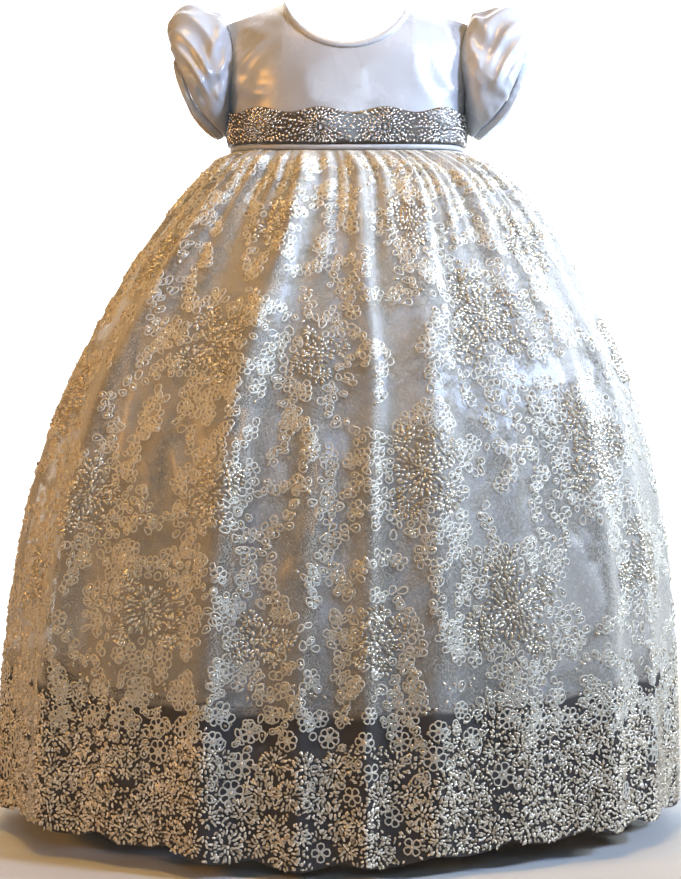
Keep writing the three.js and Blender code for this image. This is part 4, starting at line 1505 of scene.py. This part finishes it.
class GOWN_OT_sleeves(Operator):
    """Build the puff sleeves and their cuffs"""

    bl_idname = "gown.sleeves"
    bl_label = "Sleeves and cuffs"

    def execute(self, context):
        for form in SLEEVES:
            flip = np.array([form["hand"], 1, 1])
            outer, inner = (grid * flip for grid in sleeve_grids(form))
            solid = f"sleeve_{form['name']}"
            piece = put_shell(f"{solid}_cloth", outer, inner, satin_material(), ring=True)
            stand_for(solid)
            rings = rolled_ring(form) * flip
            quads = closed_ring_faces(*rings.shape[:2])
            if form["hand"] < 0:
                quads = quads[:, ::-1]
            solid = f"cuff_{form['name']}"
            band = put_mesh(f"{solid}_cloth", rings, [quads], satin_material(), uv=ring_uv(rings))
            stand_for(solid)
        return {"FINISHED"}


def neck_path():
    """Neck edge from the centre back round by the front and to the centre back again: the top rows of
    the panels, just short of the opening."""
    quarter = np.linspace(0, np.pi / 2, 40)
    neck = NECK_HALF / SHOULDER_HALF
    share = neck * np.sin(quarter)
    front = panel(-1, share, np.ones(40))
    back = panel(1, share[::-1], np.ones(40))[1:]
    back[-1] = panel(1, np.array([neck * np.sin(0.03)]), np.ones(1))[0]
    right = np.concatenate([front, back])
    left = (right[1:] * [-1, 1, 1])[::-1]
    return np.concatenate([left, right])


class GOWN_OT_bound_edges(Operator):
    """Build the neck binding and the waist piping"""

    bl_idname = "gown.bound_edges"
    bl_label = "Neck binding and piping"

    def execute(self, context):
        path = neck_path()
        along = unit(np.gradient(path, axis=0))
        lean = unit(path * [0.5, 1.1, 0] + [0, 0, 14])
        up = unit(np.cross(lean, along))
        toward = np.array([0, 0, 22]) - path * [1, 1, 0]
        up = up * np.where(np.sum(up * toward, -1, keepdims=True) < 0, -1, 1)
        out = unit(np.cross(along, up))
        turned = round_turn(TUBE_SIDES)
        high = BINDING_HALF_HEIGHT * np.cos(turned)[:, None]
        deep = BINDING_HALF_DEPTH * np.sin(turned)[:, None]
        centre = path + up * BINDING_LIFT
        roll = up[:, None] * high + out[:, None] * deep
        put_tube("neck_binding", centre[:, None] + roll)
        run = np.linspace(OPEN_BACK, WAIST_TOTAL - OPEN_BACK, PIPING_COLUMNS)
        deg = waist_angle(run)[:, None]
        level = WAIST_Z - SEAM_GAP - PIPING_RADIUS - waist_dip(deg)
        z = level + PIPING_RADIUS * np.sin(turned)
        proud = 0.6 + PIPING_RADIUS * np.cos(turned) + 0 * deg
        put_tube("waist_piping", waist_ring(deg + 0 * turned, z, proud))
        return {"FINISHED"}


def belt_beads(seed):
    """Places of the belt beads: rays of long beads round each medallion, and small round beads between
    the rays."""
    rng = np.random.default_rng(seed)
    pitch = WAIST_TOTAL / BELT_MEDALLIONS
    turns = np.arange(2 * BELT_RAYS) * np.pi / BELT_RAYS
    rows = []
    for k in range(BELT_MEDALLIONS):
        middle = BELT_SHIFT + pitch * (k + 0.5)
        for radius in np.arange(4.2, 27, 3.1):
            for n, turned in enumerate(turns):
                between = n % 2
                a = turned + rng.normal(0, 0.03)
                reach = radius + rng.normal(0, 0.25) + 1.2 * between
                u = reach * np.cos(a)
                v = reach * np.sin(a)
                top = 10.9 + BELT_SCALLOP * float(belt_near(middle + u))
                inside = OPEN_BACK + 1 < middle + u < WAIST_TOTAL - OPEN_BACK - 1
                crowded = between and radius < 7
                if crowded or not inside or abs(u) > pitch / 2 or not -10.8 < v < top:
                    continue
                wide = np.clip(0.2 * radius, 1.0, 1.8)
                size = (1.7, 1.5, 1.3) if between else (rng.uniform(2.8, 3.2), wide, 1.8)
                rows.append((middle + u, v, a, *size, rng.random()))
    return np.array(rows)


def belt_place(rows, lift):
    """Point and axes on the belt for lengths round it and heights above its middle."""
    run = np.clip(rows[:, 0], OPEN_BACK + 1, WAIST_TOTAL - OPEN_BACK - 1)
    tall = BELT_TOP_Z - BELT_BOTTOM_Z + BELT_SCALLOP * belt_near(run)
    height = np.clip((rows[:, 1] + BELT_MIDDLE) / tall, 0.05, 0.96)
    out = np.full(len(run), BELT_OUT)
    point = belt_point(run, height, out)
    across = unit(belt_point(run + 0.4, height, out) - belt_point(run - 0.4, height, out))
    up = unit(belt_point(run, height + 0.02, out) - belt_point(run, height - 0.02, out))
    normal = unit(np.cross(across, up))
    return point + normal * lift, across, np.cross(normal, across), normal


class GOWN_OT_belt(Operator):
    """Build the belt ground, its beads and its crystals"""

    bl_idname = "gown.belt"
    bl_label = "Belt"

    def execute(self, context):
        run = np.linspace(OPEN_BACK, WAIST_TOTAL - OPEN_BACK, 300)
        run, height = np.meshgrid(run, np.linspace(0, 1, 12))
        outer = belt_point(run, height, np.full(run.shape, BELT_OUT))
        inner = waist_ring(*belt_level(run, height), np.full(run.shape, BELT_IN))
        # Dark belt ground colour: painted shade between the beads.
        cloth = satin("Belt ground", tuple(colours().belt))
        ground_and_shade = put_shell("belt_ground", outer, inner, cloth)
        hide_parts("belt")
        rows = belt_beads(5)
        point, across, up, out = belt_place(rows, 0.55)
        along = across * np.cos(rows[:, 2:3]) + up * np.sin(rows[:, 2:3])
        points, faces = beads_mesh(point, along, out, rows[:, 3:6])
        tint = np.repeat(rows[:, 6], len(BEAD_POINTS))
        pale = tuple(colours().silver)
        dark = tuple(0.62 * c for c in pale)
        silver = bead_material("Silver beads", dark, pale, Metallic=0.8, Roughness=0.18)
        beads = put_mesh("belt_beads", points, faces, silver, values={"tint": tint})
        pitch = WAIST_TOTAL / BELT_MEDALLIONS
        middle = BELT_SHIFT + pitch * (np.arange(BELT_MEDALLIONS) + 0.5)
        gems = np.stack([middle, np.zeros(BELT_MEDALLIONS)], -1)
        point, across, up, out = belt_place(gems, 0.6)
        size = np.full((BELT_MEDALLIONS, 3), (3.8, 4.0, 3.0))
        points, faces = beads_mesh(point, across, out, size)
        shine = {"Metallic": 0.9, "Roughness": 0.06}
        crystal = bead_material("Crystal", (0.9, 0.92, 0.95), (1, 1, 1), **shine)
        tint = np.ones(len(points))
        stones = put_mesh("belt_crystals", points, faces, crystal, values={"tint": tint})
        facets = stones.data.polygons
        facets.foreach_set("use_smooth", np.zeros(len(facets), bool))
        return {"FINISHED"}


def side_angles(side, columns):
    """Angles across a skirt panel, from one side seam to the other."""
    share = np.linspace(-1, 1, columns)
    return front_angle(share) if side < 0 else 180 + 90 * share


def own_side(points, side):
    """Keeps a panel on its own side of the side seams."""
    points[..., 1] = side * np.maximum(side * points[..., 1], 0.03)
    return points


class GOWN_OT_lining(Operator):
    """Build the two lining panels"""

    bl_idname = "gown.lining"
    bl_label = "Lining"

    def execute(self, context):
        material = satin("Lining satin", tuple(colours().lining))
        for name, side, columns in (("front", -1, 150), ("back", 1, 110)):
            deg, v = np.meshgrid(side_angles(side, columns), np.linspace(0, 1, 90) ** 1.3)
            drop = v * lining_drop(deg)
            inset = 8 + 12 * ease(v)
            lean = (deg if side > 0 else turn(deg, 0)) * LINING_MM_PER_DEG
            scale = np.array([LINING_MM_PER_DEG, 1, LINING_MM_PER_DEG, 1])
            for *line, width, depth in LINING_CREASES:
                inset = inset - crease(lean, drop, line * scale, width, depth)
            points = skirt(deg, drop, 0.7, inset, 11 * ease(v), LINING_LENGTH)
            points = own_side(points, side)
            quads = grid_quads(*deg.shape)[:, ::-1]
            solid = f"lining_{name}"
            piece = put_mesh(f"{solid}_cloth", points, [quads], material, uv=cloth_uv(points))
            stand_for(solid)
        return {"FINISHED"}


class GOWN_OT_net(Operator):
    """Build the two net panels"""

    bl_idname = "gown.net"
    bl_label = "Net"

    def execute(self, context):
        material = net_material(tuple(colours().net), tuple(colours().ground_and_shade))
        for name, side, columns, rows in (("front", -1, 230, 120), ("back", 1, 170, 100)):
            deg, v = np.meshgrid(side_angles(side, columns), np.linspace(0, 1, rows) ** 1.15)
            drop = v * hem_drop(deg)
            points = own_side(skirt(deg, drop), side)
            quads = grid_quads(*deg.shape)[:, ::-1]
            # This attribute also darkens the net's colour: painted shade of the lace ground.
            cover_and_shade = {"cover_and_shade": lace_cover_and_shade(deg, drop)}
            flat = cloth_uv(points)
            solid = f"net_{name}"
            piece = put_mesh(f"{solid}_cloth", points, [quads], material, uv=flat, values=cover_and_shade)
            stand_for(solid)
        return {"FINISHED"}


class GOWN_OT_lace(Operator):
    """Lay the medallions, sprays and hem border of beads and cord on the net"""

    bl_idname = "gown.lace"
    bl_label = "Lace"

    def execute(self, context):
        shine = {"Metallic": 0.35, "Roughness": 0.2, "Coat_Weight": 1.0}
        low = tuple(colours().bead_low)
        high = tuple(colours().bead_high)
        pearl = bead_material("Pearl beads", low, high, **shine)
        cord = cord_material(tuple(colours().cord))
        radius = sizes().cord_radius / MM
        seed = sizes().lace_seed
        laces = {
            "medallion": medallion_lace(seed),
            "spray": spray_lace(seed + 1),
            "border": border_lace(seed + 2),
        }
        for part, lace in laces.items():
            for name, (beads, loops) in split_lace(lace).items():
                lay_beads(f"{part}_{name}_beads", beads, pearl)
                lay_cords(f"{part}_{name}_cords", loops, radius, cord)
        return {"FINISHED"}


class GOWN_OT_buttons(Operator):
    """Build the three covered buttons of the back"""

    bl_idname = "gown.buttons"
    bl_label = "Buttons"

    def execute(self, context):
        turned = round_turn(BUTTON_SIDES)
        lift = np.linspace(0, np.pi / 2, 9)
        x = BUTTON_X
        for number, z in enumerate(BUTTON_Z):
            place = np.array([x, float(bodice_y(1, x, z)), z])
            slope_x = float(bodice_y(1, x + 0.5, z) - bodice_y(1, x - 0.5, z))
            slope_z = float(bodice_y(1, x, z + 0.5) - bodice_y(1, x, z - 0.5))
            out = unit(np.array([-slope_x, 1, -slope_z]))
            across = unit(np.cross(out, [0, 0, 1]))
            up = np.cross(across, out)
            radius = BUTTON_RADIUS * np.concatenate([[0.8], np.cos(lift[:-1]) ** 0.7, [0.02]])
            rise = 0.4 + np.concatenate([[0], 1.0 + 3.0 * np.sin(lift)])
            circle = across * np.cos(turned)[:, None] + up * np.sin(turned)[:, None]
            rings = place + circle * radius[:, None, None] + out * rise[:, None, None]
            put_tube(f"button_{number + 1}", rings)
        return {"FINISHED"}



class GOWN_OT_sheets(Operator):
    """Does nothing: states no flat cut of any sheet"""

    bl_idname = "gown.sheets"
    bl_label = "Cuts"

    def execute(self, context):
        return {"FINISHED"}


# Stage: a floor that rises in a quarter round into a backdrop.
FLOOR_Z = -0.6185
FLOOR_HALF = 6.0
COVE_START_Y = 2.0
COVE_RADIUS = 1.5
BACKDROP_TOP = 5.0
WORLD_COLOUR = (1, 0.88, 0.66, 1)
WORLD_STRENGTH = 0.08
LIGHTS = (
    # name, place, target, size, watts, colour, spread
    ("Key", (1.7, -1.0, 0.85), (0.05, 0, 0.03), 0.3, 4.4, (0.52, 0.67, 1.0), 0.9),
    ("Side", (2.0, -0.3, 0.5), (0.05, 0, -0.05), 0.35, 3.1, (0.86, 0.95, 1.0), 0.85),
    ("Front", (0.2, -2.6, 0.5), (0, 0, -0.05), 0.5, 1.0, (0.62, 0.8, 1.0), 0.7),
    ("Top", (-0.1, -0.7, 1.5), (0, 0, -0.1), 0.4, 1.7, (1.0, 0.64, 0.18), 1.2),
    ("Fill", (-1.8, -1.0, 0.3), (-0.1, 0, -0.2), 0.35, 1.8, (1.0, 0.5, 0.1), 1.1),
    ("Backdrop", (0, 1.2, 2.9), (0, 3.5, 1.3), 2.0, 175, (1.0, 1.0, 1.0), 2.5),
)
CAMERA_PLACE = (-0.0049, -1.45, -0.331)
CAMERA_LENS = 78.1
SENSOR_HEIGHT = 36
EXPOSURE = 0.12
GAMMA = 0.8


def area_light(name, place, target, size, power, colour, spread):
    """Square area light that looks at a target, with its beam held to a spread."""
    data = bpy.data.lights.new(name, "AREA")
    data.size = size
    data.energy = power
    data.color = colour
    data.spread = spread
    lamp = bpy.data.objects.new(name, data)
    lamp.location = place
    aim = np.array(target) - np.array(place)
    flat = np.hypot(aim[0], aim[1])
    lamp.rotation_euler = (np.arctan2(flat, -aim[2]), 0, np.arctan2(-aim[0], aim[1]))
    bpy.context.scene.collection.objects.link(lamp)


class GOWN_OT_stage(Operator):
    """Build the floor and backdrop, the lights and the camera"""

    bl_idname = "gown.stage"
    bl_label = "Stage"

    def execute(self, context):
        scene = context.scene
        turned = np.linspace(0, np.pi / 2, 16)
        rise = COVE_RADIUS * (1 - np.cos(turned))
        back = COVE_START_Y + COVE_RADIUS * np.sin(turned)
        y = np.concatenate([[-FLOOR_HALF], back, [COVE_START_Y + COVE_RADIUS]])
        z = np.concatenate([[FLOOR_Z], FLOOR_Z + rise, [BACKDROP_TOP]])
        x = np.array([-FLOOR_HALF, FLOOR_HALF])
        points = np.stack([np.tile(x, len(y)), np.repeat(y, 2), np.repeat(z, 2)], -1)
        quads = grid_quads(len(y), 2)
        mesh = bpy.data.meshes.new("stage")
        mesh.from_pydata(points.tolist(), [], quads.tolist())
        mesh.polygons.foreach_set("use_smooth", np.ones(len(quads), bool))
        pale = (*colours().stage, 1)
        mesh.materials.append(new_material("Stage", Roughness=0.9, Base_Color=pale)[0])
        floor = bpy.data.objects.new("stage", mesh)
        scene.collection.objects.link(floor)
        world = bpy.data.worlds.new("Studio")
        world.use_nodes = True
        background = world.node_tree.nodes["Background"]
        background.inputs["Color"].default_value = WORLD_COLOUR
        background.inputs["Strength"].default_value = WORLD_STRENGTH
        scene.world = world
        for light in LIGHTS:
            area_light(*light)
        data = bpy.data.cameras.new("Camera")
        data.sensor_fit = "VERTICAL"
        data.sensor_height = SENSOR_HEIGHT
        data.lens = CAMERA_LENS
        camera = bpy.data.objects.new("Camera", data)
        camera.location = CAMERA_PLACE
        camera.rotation_euler = (np.pi / 2, 0, 0)
        scene.collection.objects.link(camera)
        scene.camera = camera
        scene.view_settings.view_transform = "Standard"
        scene.view_settings.exposure = EXPOSURE
        scene.view_settings.gamma = GAMMA
        return {"FINISHED"}


OPERATORS = (
    GOWN_OT_bodice,
    GOWN_OT_sleeves,
    GOWN_OT_bound_edges,
    GOWN_OT_belt,
    GOWN_OT_lining,
    GOWN_OT_net,
    GOWN_OT_lace,
    GOWN_OT_buttons,
    GOWN_OT_sheets,
    GOWN_OT_stage,
)


class GOWN_PT_panel(Panel):
    """Sidebar panel with the gown's sizes, colours and operators"""

    bl_idname = "GOWN_PT_panel"
    bl_label = "Christening gown"
    bl_space_type = "VIEW_3D"
    bl_region_type = "UI"
    bl_category = "Gown"

    def draw(self, context):
        for values in (context.scene.gown_sizes, context.scene.gown_colours):
            for key in values.__annotations__:
                self.layout.prop(values, key)
        for operator in OPERATORS:
            self.layout.operator(operator.bl_idname)


CLASSES = (GownSizes, GownColours, *OPERATORS, GOWN_PT_panel)


def register():
    """Registers the classes and puts the sizes and colours on the scene."""
    for kind in CLASSES:
        bpy.utils.register_class(kind)
    bpy.types.Scene.gown_sizes = PointerProperty(type=GownSizes)
    bpy.types.Scene.gown_colours = PointerProperty(type=GownColours)


def unregister():
    """Takes back what register did, in reverse."""
    del bpy.types.Scene.gown_colours
    del bpy.types.Scene.gown_sizes
    for kind in reversed(CLASSES):
        bpy.utils.unregister_class(kind)


def main():
    """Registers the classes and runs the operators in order."""
    register()
    for operator in OPERATORS:
        area, name = operator.bl_idname.split(".")
        getattr(getattr(bpy.ops, area), name)()


if __name__ == "__main__":
    main()
